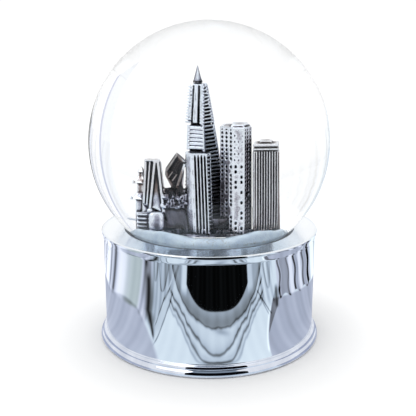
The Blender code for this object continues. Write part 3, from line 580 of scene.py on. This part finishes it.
# the fluted tower
b = [(13.7, -3.2, FOOT), (21.9, -2.6, FOOT), (21.5, 4.3, FOOT), (14.0, 4.3, FOOT)]
t = [(x, y, 82.2) for x, y, _ in b]
city.loft(inset(b, 0.75), inset(t, 0.75))
for number, face in enumerate(sides(city, b, t)):
    count = round(face.wide / 0.82)
    for k in range(count):
        u = (k + 0.5) / count
        w = 0.21 / count
        face.pad(u - w, u + w, 0.0, 0.955, 0.10)
    face.pad(0.0, 1.0, 0.968, 0.988, 0.08)
roof = [(x, y) for x, y, _ in b]
city.loft(inset([(x, y, 82.5) for x, y in roof], -0.1), inset([(x, y, 83.3) for x, y in roof], 0.1))
city.loft(inset([(x, y, 81.9) for x, y in roof], 0.5), inset([(x, y, 82.7) for x, y in roof], 0.5))
city.block((15.8, -1.6, 83.1), (19.6, 2.2, 84.1))

# the group on the left: a fanned facade, a stepped roof, a tilted house and low pieces
city.loft([(-20.5, -2.6, 64.0), (-13.8, -3.0, 61.4), (-13.8, 0.6, 61.4), (-20.5, 0.6, 64.0)],
          [(-19.9, -2.4, 78.1), (-15.6, -2.6, 77.8), (-15.6, 0.4, 77.8), (-19.9, 0.4, 78.1)])
for p, q, w in (
    ((-20.75, -3.4, 64.4), (-20.0, -3.0, 78.4), 0.7), ((-19.75, -3.5, 64.0), (-18.7, -3.1, 78.2), 0.5),
    ((-18.84, -3.9, 62.6), (-17.2, -3.5, 78.3), 0.75), ((-14.4, -3.9, 61.4), (-16.3, -3.5, 78.3), 0.8),
    ((-13.4, -3.2, 61.2), (-15.4, -2.8, 77.6), 0.5),
):
    city.bar(p, q, w, 1.8)
city.bar((-20.2, -3.5, 78.1), (-15.5, -3.5, 78.0), 0.55, 3.4)
city.lump((-18.85, -3.9, 62.2), (0.95, 0.9, 0.9), 2.0, 10)
city.block((-21.0, -2.2, FOOT), (-13.0, 2.4, 64.6))
for z0, z1, r0, r1 in ((61.0, 65.6, 1.9, 1.9), (65.6, 67.9, 3.5, 1.4), (67.6, 70.6, 1.5, 1.4), (70.6, 73.0, 2.8, 1.0), (72.8, 74.0, 1.1, 0.9), (74.0, 75.8, 1.5, 0.2)):
    city.cone(-21.2, 0.6, z0, z1, r0, r1, 4, 0.35)
for z, r in ((65.7, 3.4), (70.7, 2.7)):
    for k in range(4):
        a = 0.35 + math.tau * k / 4
        city.cone(-21.2 + r * math.cos(a), 0.6 + r * math.sin(a), z - 0.15, z + 0.95, 0.42, 0.12, 6)
city.block((-22.8, -2.4, FOOT), (-19.2, 1.8, 61.6))
for k in range(5):
    city.block((-23.0, -2.6, 55.4 + 1.3 * k), (-19.0, -1.8, 55.9 + 1.3 * k))
city.bar((-25.9, -1.2, 59.4), (-22.0, -1.2, 58.9), 0.6, 1.2)
city.lump((-16.8, -4.0, 58.4), (2.6, 1.9, 3.5), 4.0, 18)
for x in (-18.6, -15.0):
    city.lump((x, -5.2, 55.3), (0.9, 0.6, 0.9), 2.2, 8)
outline = ((-13.8, 73.1), (-11.6, 68.9), (-8.4, 67.6), (-7.7, 77.9), (-10.2, 80.0), (-13.6, 75.1))
city.add([(x, -3.0, z) for x, z in outline] + [(x, 2.4, z) for x, z in outline],
         [tuple(range(6)), tuple(range(11, 5, -1))] + [((k + 1) % 6, k, 6 + k, 6 + (k + 1) % 6) for k in range(6)])
city.bar((-7.8, -3.7, 77.0), (-10.9, -3.7, 67.4), 0.75, 1.4)
city.bar((-13.5, -3.3, 74.7), (-10.3, -3.3, 79.6), 0.35, 0.8)
for k in range(3):
    city.bar((-12.9 + 1.3 * k, -3.25, 72.6 - 0.9 * k), (-11.6 + 1.3 * k, -3.25, 74.4 - 0.9 * k), 0.3, 0.6)
city.loft([(-14.2, -4.6, FOOT), (-6.8, -4.6, FOOT), (-6.8, 3.0, FOOT), (-14.2, 3.0, FOOT)],
          [(-14.2, -3.6, 64.4), (-6.8, -3.6, 64.4), (-6.8, 2.6, 67.0), (-14.2, 2.6, 67.0)])
for _ in range(120):
    x, z = rng.uniform(-14.2, -7.0), rng.uniform(63.4, 69.2)
    s = rng.uniform(0.25, 0.65)
    city.block((x - s, -4.1 - rng.uniform(0, 0.5), z - s), (x + s, -1.0, z + s * rng.uniform(0.4, 1.1)), rng.uniform(-40, 40))
for _ in range(90):     # rubble and low roofs between and behind the towers
    x = rng.uniform(-20.0, 20.5)
    y = rng.uniform(-5.2, 5.6)
    s = rng.uniform(0.4, 1.0)
    city.block((x - s, y - s, FOOT), (x + s, y + s, 55.0 + rng.uniform(0.0, 1.6)), rng.uniform(-40, 40))
city.block((1.0, -2.6, FOOT), (6.0, 2.0, 59.5), 8.0)
for k in range(8):      # low buildings behind, seen from the back
    x = -17.0 + 4.6 * k
    top = 60.0 + 3.5 * math.sin(k * 2.1)
    city.block((x - 1.9, 2.6, FOOT), (x + 1.9, 6.0, top))
    for row in range(int((top - 55.0) / 1.3)):
        city.block((x - 1.7, 5.6, 55.0 + 1.3 * row), (x + 1.7, 6.3, 55.6 + 1.3 * row))

raw = mesh_object("skyline_raw", [(x * MM, y * MM, z * MM) for x, y, z in city.verts], city.faces, [])
remesh = raw.modifiers.new("fuse", "REMESH")
remesh.mode = "VOXEL"
remesh.voxel_size = 0.16 * MM
remesh.adaptivity = 0.0
bpy.context.view_layer.update()
fused = bpy.data.meshes.new_from_object(raw.evaluated_get(bpy.context.evaluated_depsgraph_get()))
bpy.data.objects.remove(raw, do_unlink=True)

count = len(fused.vertices)
co = np.empty(count * 3)
fused.vertices.foreach_get("co", co)
co = co.reshape(-1, 3)
edges = np.empty(len(fused.edges) * 2, dtype=np.int64)
fused.edges.foreach_get("vertices", edges)
edges = edges.reshape(-1, 2)
degree = np.bincount(edges.ravel(), minlength=count).astype(float)


def relax(points, times, weight=0.5):
    for _ in range(times):
        total = np.empty_like(points)
        for axis in range(3):
            total[:, axis] = np.bincount(edges[:, 0], points[edges[:, 1], axis], count) + np.bincount(edges[:, 1], points[edges[:, 0], axis], count)
        points = points + weight * (total / degree[:, None] - points)
    return points


co = relax(co, 2, 0.5)
fused.vertices.foreach_set("co", co.ravel())
fused.update()
normal = np.empty(count * 3)
fused.vertex_normals.foreach_get("vector", normal)
normal = normal.reshape(-1, 3)
near = relax(co, 8, 0.6)
far = relax(near, 40, 0.6)
hollow_near = ((near - co) * normal).sum(1) / MM
hollow_far = ((far - co) * normal).sum(1) / MM
# painted shade: faces turned towards +X (the right) and faces turned down are made darker, as if shaded
painted_side_shade = np.clip((normal[:, 0] - 0.15) / 0.7, 0, 1)
down = np.clip(-normal[:, 2], 0, 1)
x_mm, z_mm = co[:, 0] / MM, co[:, 2] / MM
wave = 0.5 + 0.5 * np.sin(x_mm * 1.7 + 2.1 * np.sin(z_mm * 0.43)) * np.sin(z_mm * 0.9 + 1.3 * np.sin(x_mm * 0.6))
# this value holds the patina in hollows, pale rubbed edges and random tone, and also painted shade on right-facing
# faces, undersides, the gap between the front towers and the spire's sides
patina_and_painted_shade = 0.14 + 8.0 * np.clip(hollow_near, -0.02, 0.2) + 4.0 * np.clip(hollow_far, -0.05, 0.35)
patina_and_painted_shade += 0.42 * painted_side_shade + 0.25 * down + 0.10 * (wave - 0.5)
left = np.clip((-7.6 - x_mm) / 1.2, 0, 1) * np.clip((z_mm - 66.5) / 2.0, 0, 1)
box_dark = left * np.clip((x_mm + 14.6) / 0.8, 0, 1)
patina_and_painted_shade += 0.50 * box_dark + 0.12 * left
slope = np.clip((-7.0 - x_mm) / 0.6, 0, 1) * np.clip((x_mm + 14.2) / 0.6, 0, 1) * np.clip((64.5 - z_mm) / 1.0, 0, 1)
patina_and_painted_shade += 0.33 * slope
# darker towards the bottom of the casting, below 58.5 mm and more weakly below 64 mm
patina_and_painted_shade += 0.34 * np.clip((58.5 - z_mm) / 3.5, 0, 1) + 0.10 * np.clip((64.0 - z_mm) / 8.0, 0, 1)
fluted = np.clip((x_mm - 13.3) / 0.4, 0, 1)
patina_and_painted_shade += fluted * (0.13 + 0.08 * np.sin(z_mm * 0.35 + 1.2 * np.sin(x_mm)))
windows = np.clip((x_mm - 2.6) / 0.5, 0, 1) * (1 - fluted)
# the window tower's left face is a little darker and darkens further below 84.5 mm; its right face darkens below 86 mm
patina_and_painted_shade += windows * np.clip((7.0 - x_mm) / 0.6, 0, 1) * (0.12 + 0.36 * np.clip((84.5 - z_mm) / 14.0, 0, 1) * np.clip((8.4 - x_mm) / 3.0, 0.4, 1))
patina_and_painted_shade += windows * np.clip((x_mm - 11.2) / 0.5, 0, 1) * (0.12 + 0.30 * np.clip((86.0 - z_mm) / 3.0, 0, 1))
# painted shade: in the gap between the ribbed tower and the window tower (x 1 to 3.4 mm) the casting darkens towards
# the bottom, below 76 mm
behind = np.clip((x_mm - 1.0) / 0.8, 0, 1) * np.clip((3.4 - x_mm) / 0.8, 0, 1)
patina_and_painted_shade += behind * 0.35 * np.clip((76.0 - z_mm) / 8.0, 0, 1)
patina_and_painted_shade += 0.18 * np.clip((z_mm - 102.9) / 0.4, 0, 1) + 0.55 * np.exp(-((z_mm - 102.4) / 0.45) ** 2)
thicket = np.clip((-6.9 - x_mm) / 0.5, 0, 1) * np.clip((x_mm + 14.6) / 0.5, 0, 1) * np.clip((z_mm - 63.0) / 1.0, 0, 1) * np.clip((70.5 - z_mm) / 1.5, 0, 1)
patina_and_painted_shade += 0.22 * thicket
patina_and_painted_shade -= 3.2 * np.clip(-hollow_near, 0, 0.15) * np.clip((z_mm - 55.5) / 2.0, 0.15, 1)
# painted shade and highlight: above 102.85 mm the spire is pale where it faces the front and darker on its left and
# right sides
spire = np.clip((z_mm - 102.85) / 0.3, 0, 1)
patina_and_painted_shade = patina_and_painted_shade * (1 - spire) + spire * (0.02 + 0.55 * np.abs(normal[:, 0]) ** 1.6)
patina_and_painted_shade += 0.75 * np.exp(-((z_mm - 102.3) / 0.42) ** 2) * np.clip((np.hypot(x_mm + 3.6, co[:, 1] / MM - 1.5) - 0.9) / 0.2, 0, 1) * (np.hypot(x_mm + 3.6, co[:, 1] / MM - 1.5) < 2.2)
patina_and_painted_shade += 0.4 * np.exp(-((z_mm - 59.5) / 0.5) ** 2) * (x_mm > 0.8) * (x_mm < 6.2) * (co[:, 1] < 0.0022)
patina_and_painted_shade += 0.30 * thicket + 0.10 * fluted
pod = np.clip((-13.8 - x_mm) / 0.4, 0, 1) * np.clip((62.2 - z_mm) / 0.6, 0, 1)
patina_and_painted_shade += pod * (0.12 + 0.10 * wave)
patina_and_painted_shade = np.clip(patina_and_painted_shade, 0, 1)
# this attribute carries the patina and the painted shade together
fused.attributes.new("patina_and_painted_shade", "FLOAT", "POINT").data.foreach_set("value", patina_and_painted_shade.astype(np.float32))
fused.attributes.new("warmth", "FLOAT", "POINT").data.foreach_set("value", np.clip(left * 1.0 + 0.85 * fluted + 0.35 * windows + 0.15 * wave, 0, 1).astype(np.float32))

SILVER, nt, bsdf = new_material("antique_silver")
patina_shade_attr = nt.nodes.new("ShaderNodeAttribute")
patina_shade_attr.attribute_name = "patina_and_painted_shade"
warm = nt.nodes.new("ShaderNodeAttribute")
warm.attribute_name = "warmth"
grit = noise(nt, 1400.0, 4.0, 0.65)
shifted = nt.nodes.new("ShaderNodeMath")
shifted.operation = "MULTIPLY_ADD"
shifted.inputs[1].default_value = 0.24
nt.links.new(grit, shifted.inputs[0])
nt.links.new(patina_shade_attr.outputs["Fac"], shifted.inputs[2])
cool_tone = ramp(nt, shifted.outputs[0], (
    (0.14, (0.70, 0.76, 0.84)), (0.32, (0.37, 0.395, 0.49)), (0.54, (0.125, 0.130, 0.175)),
    (0.80, (0.026, 0.026, 0.032)), (1.0, (0.008, 0.008, 0.010)),
))
warm_tone = ramp(nt, shifted.outputs[0], (
    (0.14, (0.66, 0.68, 0.72)), (0.32, (0.345, 0.315, 0.315)), (0.54, (0.140, 0.108, 0.100)),
    (0.80, (0.034, 0.025, 0.024)), (1.0, (0.010, 0.008, 0.008)),
))
tone = nt.nodes.new("ShaderNodeMix")
tone.data_type = "RGBA"
nt.links.new(warm.outputs["Fac"], tone.inputs[0])
nt.links.new(cool_tone, tone.inputs[6])
nt.links.new(warm_tone, tone.inputs[7])
nt.links.new(tone.outputs[2], bsdf.inputs["Base Color"])
nt.links.new(spread(nt, shifted.outputs[0], 0.20, 0.55, 0.2, 0.9), bsdf.inputs["Roughness"])
bsdf.inputs["Metallic"].default_value = 0.9
bump(nt, bsdf, grit, 0.03, 0.5)

fused.materials.clear()
fused.materials.append(SILVER)
fused.shade_smooth()
fused.name = "skyline_casting"
skyline = bpy.data.objects.new("skyline_casting", fused)
scene.collection.objects.link(skyline)
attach(skyline, "globe")
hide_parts("skyline_figurine")

# ---- the carried-over pieces of the movement ---------------------------------------------------
replaced = {"base_shell", "glass_globe", "water", "figurine_plinth", "snow_bed", "skyline_figurine"}
slot_of = {s["node"]: s["material_slot"] for s in frame["record"]["subparts"]}
for name, obj in frame["nodes"].items():
    if name in replaced:
        continue
    for holder in obj.material_slots:
        holder.material = BY_SLOT[slot_of[name]]

# ---- floor, reflection card, lights, camera ------------------------------------------------------
floor = mesh_object("studio_floor", [(-8, -8, 0), (8, -8, 0), (8, 8, 0), (-8, 8, 0)], [(0, 1, 2, 3)],
                    [surface("floor_paint_and_painted_shadow", (0.955, 0.955, 0.955), (0.97, 0.97, 0.97), 3.0, (0.8, 0.95))])
floor.location.z = -0.00015
nt = floor.data.materials[0].node_tree
floor_bsdf = nt.nodes["Principled BSDF"]
floor_bsdf.inputs["Specular IOR Level"].default_value = 0.0
paint = floor_bsdf.inputs["Base Color"].links[0].from_socket
# painted shadow: the floor colour is multiplied down to 0.80 near the base and rises to white between 46 and 78 mm from
# the axis
reach = nt.nodes.new("ShaderNodeVectorMath")
reach.operation = "LENGTH"
nt.links.new(nt.nodes.new("ShaderNodeTexCoord").outputs["Object"], reach.inputs[0])
shade = ramp(nt, spread(nt, reach.outputs["Value"], 0.0, 1.0, 0.046, 0.078), ((0.0, (0.80, 0.80, 0.80)), (0.30, (0.89, 0.89, 0.89)), (1.0, (1.0, 1.0, 1.0))))
blend = nt.nodes.new("ShaderNodeMix")
blend.data_type = "RGBA"
blend.blend_type = "MULTIPLY"
blend.inputs[0].default_value = 1.0
nt.links.new(paint, blend.inputs[6])
nt.links.new(shade, blend.inputs[7])
nt.links.new(blend.outputs[2], floor_bsdf.inputs["Base Color"])


def soft(edge0, edge1, value):
    t = np.clip((value - edge0) / (edge1 - edge0), 0, 1)
    return t * t * (3 - 2 * t)


def line(distance, width):
    return np.exp(-(distance / width) ** 2)


def knee(x):
    return 1.3 * np.log1p(np.exp(np.clip(x / 1.3, -30, 30)))


def glow(r, a):
    """What the polished drum mirrors: r is millimetres from its axis, a is degrees from the front."""
    calm = np.clip((r - 52) / 45, 0.08, 1)
    wob = calm * (1.5 * np.sin(a * 0.42 + 0.05 * r) + 0.9 * np.sin(a * 0.93 + 1.0 - 0.06 * r) + 0.5 * np.sin(a * 1.7 + 0.1 * r))
    d = a - 7.0
    t = np.abs(d)
    e = np.abs(a - 5.2)
    r_black = 106.3 + 27.0 * (t / 24.5) ** 3.2
    r1 = 88.0 + 27.0 * (t / 28.0) ** 2.1 + 14.0 * (t / 38.0) ** 9 + 0.5 * wob
    r2 = 61.7 + 1.5 * 1.3 * knee((e - 5.6) * 0.65) / 0.65 / 1.3 * 1.28 + 6.0 * (e / 38.0) ** 8 + wob
    r3 = 55.8 + 2.15 * knee(e - 9.5) + 0.9 * wob
    r4 = 55.0 + 2.15 * knee(e - 12.4) + 0.9 * wob
    v = np.full(r.shape, 0.885) - 0.03 * soft(50, 70, r) + 0.02 * np.sin(a * 0.8)
    inner = soft(42.0, 39.0, t)
    # the pale ground before the folds, then one fold behind the other
    steep = soft(9.0, 15.0, e)
    v = v - inner * (0.34 * line(r - r4, 1.0 + 0.9 * steep) + 0.09 * soft(0, 2, r - r4))
    v = v - inner * (0.52 * line(r - r3, 1.2 + 1.0 * steep) + 0.14 * line(r - r3 - 3.0, 2.8))
    v = v - inner * (0.54 * line(r - r2, 1.4 + 0.8 * steep) + 0.33 * soft(0, 1.5, r - r2) * np.exp(-np.maximum(r - r2, 0) / 5.5))
    v = v - inner * (0.36 * line(r - r1, 1.6 + 0.8 * steep) + 0.36 * soft(-1.0, 1.5, r - r1) + 0.13 * soft(0, 4, r - r1) * soft(20, 6, r - r1))
    v = v - inner * 0.34 * line(d - 3.0 + 0.6 * (r - 83.0), 4.5) * line(r - 84.5, 3.8)
    pale = soft(25.5, 27.0, t) * soft(32.5, 30.0, t) * soft(122, 140, r)
    v = v + pale * (0.38 - 0.12 * (d > 0))
    v = v - soft(-31.5, -32.5, a) * soft(-40, -34, a) * 0.08 * soft(130, 140, r)
    black = soft(27.3, 26.3, t) * soft(0.0, 2.0, r - r_black)
    v = v * (1 - black) + black * (0.0028 + 0.0022 * np.sin(a * 0.5) * np.sin(a * 1.1))
    # folds that run outwards on the left of the middle
    grey_l = soft(-58, -54, a) * soft(-32.0, -35.0, a) * soft(-0.2, -1.0, a + 35.2 + 0.165 * (134.0 - r)) * soft(80, 90, r)
    v = v - grey_l * (0.30 + 0.10 * np.sin(a * 1.6 + 0.05 * r))
    v = v - 0.62 * line(a + 35.2 + 0.165 * (134.3 - r) + 0.25 * wob, 0.62) * soft(80, 88, r) * soft(142, 134, r)
    v = v - 0.62 * line(a + 32.0 + 0.125 * (125.0 - r) + 0.25 * wob, 0.55) * soft(62, 70, r) * soft(132, 124, r)
    between = soft(0, 1.0, a + 35.2 + 0.165 * (134.0 - r)) * soft(0, -1.0, a + 32.0 + 0.125 * (125.0 - r)) * soft(70, 84, r)
    v = v - between * 0.16
    for mid_a, half, tip, drop in ((-41.0, 3.6, 127.0, 0.34), (53.0, 2.9, 128.0, 0.30), (-34.0, 1.5, 146.0, 0.10), (-48.5, 1.8, 140.0, 0.25)):
        w = half * np.sqrt(np.clip((r - tip) / 26.0, 0, 1.4))
        inside = soft(w, w - 0.8, np.abs(a - mid_a)) * soft(tip, tip + 2, r)
        v = v - drop * line(np.abs(a - mid_a) - w, 0.6) * soft(tip - 2, tip + 2, r)
        v = v - inside * 0.22 * soft(mid_a - half, mid_a + half, a) + inside * 0.12 * line(a - mid_a + 1.2, 0.9)
    centre = -40.8 - 0.38 * np.clip(r - 68.5, 0, 30) - 0.085 * np.clip(r - 98.5, 0, 70)
    width = 0.5 + 3.2 * np.clip((r - 68) / 24, 0, 1) + 0.9 * line(r - 118, 18)
    v = v * (1 - 0.97 * line(a - centre, width) * soft(66, 74, r) * soft(166, 140, r)) * (1 - 0.70 * line(a - centre, width) * soft(140, 166, r))
    v = v - 0.40 * line(a + 60.5, 2.0) * soft(86, 96, r)
    # the sides: lilac ground near the foot, pale and dark upright strips further out
    edge_l = -29.6 - 0.74 * (r - 53.4)
    edge_r = 39.6 + 0.28 * (r - 56.0)
    low_l = soft(0, 4, edge_l - a) * soft(100, 95, r + 4.0 * np.sin(a * 0.11 + 1.0))
    low_r = soft(0, 1.5, a - edge_r) * soft(2, -2, r - 110.0 + 0.22 * (a - 67.0))
    side = np.maximum(low_l * 0.88, low_r)
    v = v - side * (0.36 + 0.04 * np.sin(a * 0.3))
    green = soft(-90, -72, a) * soft(-62, -66, a) * soft(92, 98, r)
    v = v - green * 0.27 + 0.15 * soft(-100, -94, a) * soft(-82, -88, a) * soft(92, 98, r)
    v = v * (1 - 0.85 * line(a + 103, 3.4) * soft(88, 100, r)) * (1 - 0.6 * line(a + 112, 2.0) * soft(80, 110, r))
    far_edge = np.maximum(soft(-113, -117, a), soft(119, 123, a)) * soft(96, 101, r)
    v = v * (1 - far_edge) + 1.16 * far_edge
    right = soft(62, 64, a) * soft(121, 118, a) * soft(-1, 1.5, r - 110.0 + 0.22 * (a - 67.0) + 3.0 * np.sin(a * 0.42))
    v = v - right * 0.18
    for mid_a, half, drop in ((66.0, 0.8, 0.55), (72.0, 4.0, 0.30), (77.2, 0.7, 0.45), (86.8, 1.0, 0.62), (90.0, 2.0, 0.22), (101.0, 1.2, 0.45), (105.0, 3.0, 0.22), (112.5, 2.4, 0.68)):
        v = v - right * drop * soft(half + 0.8, half - 0.2, np.abs(a - mid_a + 1.2 * np.sin(r * 0.12)))
    for mid_a, half in ((81.5, 2.2), (95.5, 1.8)):
        v = v + right * 0.20 * soft(half + 0.8, half - 0.2, np.abs(a - mid_a))
    v = v - 0.58 * line(a - 44.1 - 0.303 * (121.4 - r), 0.6) * soft(93, 97, r) * soft(132, 124, r)
    v = v - 0.45 * line(a - 44.4 - 0.243 * (117.4 - r), 0.5) * soft(92, 96, r) * soft(122, 116, r)
    v = v - 0.30 * soft(44, 46, a) * soft(60, 57, a) * soft(100, 116, r) * (0.6 + 0.4 * np.sin(a * 1.3 + 0.08 * r))
    spike = np.clip((r - 72.8) / 27.0, 0, 1)
    v = v - 0.30 * soft(0, 0.8, a - edge_r - 0.9) * soft(0.8, -0.2, a - edge_r - 0.9 - 7.0 * spike) * soft(72, 76, r) * soft(128, 120, r)
    v = v * (1 - 0.80 * line(a - 60.2 + 0.06 * (110.0 - r), 1.7) * soft(97, 102, r) * soft(134, 124, r))
    v = v + 0.30 * line(a - edge_r, 0.8) * soft(55, 60, r) * soft(106, 98, r)
    # behind the object a second, softer set of the same folds
    back = ((a - 188.0 + 180.0) % 360.0) - 180.0
    tb = np.abs(back)
    hind = soft(62, 54, tb)
    rb = 74.0 + 22.0 * (tb / 24.0) ** 1.8 + 1.4 * wob
    v = v - hind * (0.45 * line(r - rb, 1.8) + 0.20 * soft(0, 8, r - rb) + 0.30 * line(r - rb + 13, 1.4))
    patch = soft(24, 22, tb) * soft(0, 3, r - 118.0 - 18.0 * (tb / 20.0) ** 3)
    v = v * (1 - 0.93 * patch)
    for spot, w in ((138, 2.2), (150, 1.2), (-128, 1.8), (-140, 2.8)):
        v = v * (1 - 0.6 * line(a - spot, w) * soft(80, 110, r))
    v = np.clip(v * 1.06, 0.0015, 1.3)
    mid = 1 - np.abs(v - 0.5) * 1.6
    mid = np.clip(mid, 0, 1)
    ends = np.clip(side + right + soft(-50, -56, a), 0, 1)
    red = v * (0.905 - 0.05 * mid + 0.05 * ends)
    grn = v * (1.0 - 0.02 * ends)
    blu = v * (1.05 + 0.15 * mid + 0.02 * ends)
    red, blu = red - green * v * 0.06, blu - green * v * 0.17
    return np.stack([red, grn, blu, np.ones_like(v)], -1)


radii = np.concatenate([np.linspace(48.6, 200.0, 260), np.geomspace(202.0, 3000.0, 70)])
turns = np.linspace(-180.0, 180.0, 901)[:-1]
grid_r, grid_a = np.meshgrid(radii, turns, indexing="ij")
px = grid_r * np.sin(np.radians(grid_a)) * MM
py = -grid_r * np.cos(np.radians(grid_a)) * MM
verts = np.stack([px, py, np.full(px.shape, 0.0001)], -1).reshape(-1, 3)
rows, cols = grid_r.shape
index = np.arange(rows * cols).reshape(rows, cols)
nxt = np.roll(index, -1, axis=1)
quads = np.stack([index[:-1], nxt[:-1], nxt[1:], index[1:]], -1).reshape(-1, 4)
card_mesh = bpy.data.meshes.new("reflection_card")
card_mesh.from_pydata(verts.tolist(), [], quads.tolist())
paint = card_mesh.attributes.new("glow", "FLOAT_COLOR", "POINT")
paint.data.foreach_set("color", glow(grid_r, grid_a).reshape(-1).astype(np.float32))
lo_hi = [math.radians(7.0 + 29.5 * (2 * k / 24 - 1)) for k in range(25)]
slot_verts = [(0.62 * math.sin(q), -0.62 * math.cos(q), z) for z in (0.0, 0.62, 2.4) for q in lo_hi]
dark_mesh = bpy.data.meshes.new("dark_opening")
dark_mesh.from_pydata(slot_verts, [], [(25 * j + k, 25 * j + k + 1, 25 * j + 26 + k, 25 * j + 25 + k) for j in range(2) for k in range(24)])
opening = bpy.data.objects.new("dark_opening", dark_mesh)
scene.collection.objects.link(opening)
dark_mat = bpy.data.materials.new("dark_opening")
dark_mat.use_nodes = True
dark_bsdf = dark_mat.node_tree.nodes["Principled BSDF"]
dark_bsdf.inputs["Base Color"].default_value = (0.002, 0.002, 0.003, 1.0)
dark_bsdf.inputs["Specular IOR Level"].default_value = 0.0
dark_mesh.materials.append(dark_mat)
grey_mat = bpy.data.materials.new("grey_opening")
grey_mat.use_nodes = True
grey_bsdf = grey_mat.node_tree.nodes["Principled BSDF"]
grey_bsdf.inputs["Base Color"].default_value = (0.0, 0.0, 0.0, 1.0)
grey_bsdf.inputs["Specular IOR Level"].default_value = 0.0
grey_bsdf.inputs["Emission Color"].default_value = (0.78, 0.93, 1.10, 1.0)
grey_bsdf.inputs["Emission Strength"].default_value = 0.36
grey_mat.cycles.emission_sampling = "NONE"
dark_mesh.materials.append(grey_mat)
for polygon in dark_mesh.polygons:
    polygon.material_index = 1 if polygon.center.z > 0.62 else 0
card = bpy.data.objects.new("reflection_card", card_mesh)
scene.collection.objects.link(card)
card_mat = bpy.data.materials.new("reflection_card")
card_mat.use_nodes = True
nt = card_mat.node_tree
nt.nodes.remove(nt.nodes["Principled BSDF"])
emit = nt.nodes.new("ShaderNodeEmission")
read = nt.nodes.new("ShaderNodeAttribute")
read.attribute_name = "glow"
nt.links.new(read.outputs["Color"], emit.inputs["Color"])
nt.links.new(emit.outputs["Emission"], nt.nodes["Material Output"].inputs["Surface"])
card_mat.cycles.emission_sampling = "NONE"
card_mesh.materials.append(card_mat)
for board in (card, opening):
    board.visible_camera = False
    board.visible_diffuse = False
    board.visible_transmission = False
    board.visible_shadow = False
    board.visible_volume_scatter = False


def flag(name, first, last, colour, rows=((1.7, 0.0004), (1.7, 1.8))):
    """A board to one side, seen only through the glass; angles are from the back, rows are distance and height."""
    steps = 12
    points = []
    for reach, height in rows:
        for k in range(steps + 1):
            turn = first + (last - first) * k / steps
            q = math.radians(turn - math.copysign(2.6 / reach - 1.53, turn))
            points.append((reach * math.sin(q), reach * math.cos(q), height))
    n = steps + 1
    faces = [(n * j + k, n * j + k + 1, n * j + n + k + 1, n * j + n + k) for j in range(len(rows) - 1) for k in range(steps)]
    mat = bpy.data.materials.new(name)
    mat.use_nodes = True
    board_bsdf = mat.node_tree.nodes["Principled BSDF"]
    board_bsdf.inputs["Base Color"].default_value = (0.0, 0.0, 0.0, 1.0)
    board_bsdf.inputs["Specular IOR Level"].default_value = 0.0
    board_bsdf.inputs["Emission Color"].default_value = (*colour, 1.0)
    board_bsdf.inputs["Emission Strength"].default_value = 1.0
    mat.cycles.emission_sampling = "NONE"
    board = mesh_object(name, points, faces, [mat])
    board.visible_camera = False
    board.visible_diffuse = False
    board.visible_glossy = False
    board.visible_shadow = False
    board.visible_volume_scatter = False


lying = ((0.2, 0.0004), (0.3, 0.0004), (0.5, 0.0004), (0.9, 0.0004), (1.7, 0.0004), (1.7, 1.8))
flag("flag_right_tint", 25.0, 32.4, (0.975, 0.995, 1.03), lying)
flag("flag_right_line", 32.4, 34.4, (0.60, 0.63, 0.78), lying)
flag("flag_right_side", 50.0, 56.0, (0.86, 0.91, 1.0), lying)
flag("flag_left_edge", -52.0, -55.0, (0.58, 0.66, 0.82))
flag("flag_left_side", -60.0, -55.0, (0.90, 0.94, 1.02))

world = bpy.data.worlds.new("studio")
scene.world = world
world.use_nodes = True
world.node_tree.nodes["Background"].inputs["Color"].default_value = (1.0, 1.0, 1.0, 1.0)
world.node_tree.nodes["Background"].inputs["Strength"].default_value = 1.06


def area(name, place, aim, size, power):
    data = bpy.data.lights.new(name, "AREA")
    data.shape = "DISK"
    data.size = size
    data.energy = power
    obj = bpy.data.objects.new(name, data)
    scene.collection.objects.link(obj)
    obj.location = place
    obj.rotation_euler = (Vector(aim) - Vector(place)).to_track_quat("-Z", "Y").to_euler()
    return obj


area("key_light", (-0.55, -0.75, 1.3), (0, 0, 0.06), 1.2, 4.0)
area("top_light", (0.2, 0.3, 1.6), (0, 0, 0.0), 1.0, 1.5)

scene.view_settings.view_transform = "Standard"
scene.view_settings.look = "None"
camera_data = bpy.data.cameras.new("camera")
camera_data.sensor_width = 36.0
camera_data.lens = 57.055
camera_data.clip_start = 0.01
camera = bpy.data.objects.new("camera", camera_data)
scene.collection.objects.link(camera)
camera.location = (-0.00054, -0.2753, 0.1228)
camera.rotation_euler = (math.pi / 2 - 0.2411, 0.0, 0.0)
scene.camera = camera

bpy.context.view_layer.update()
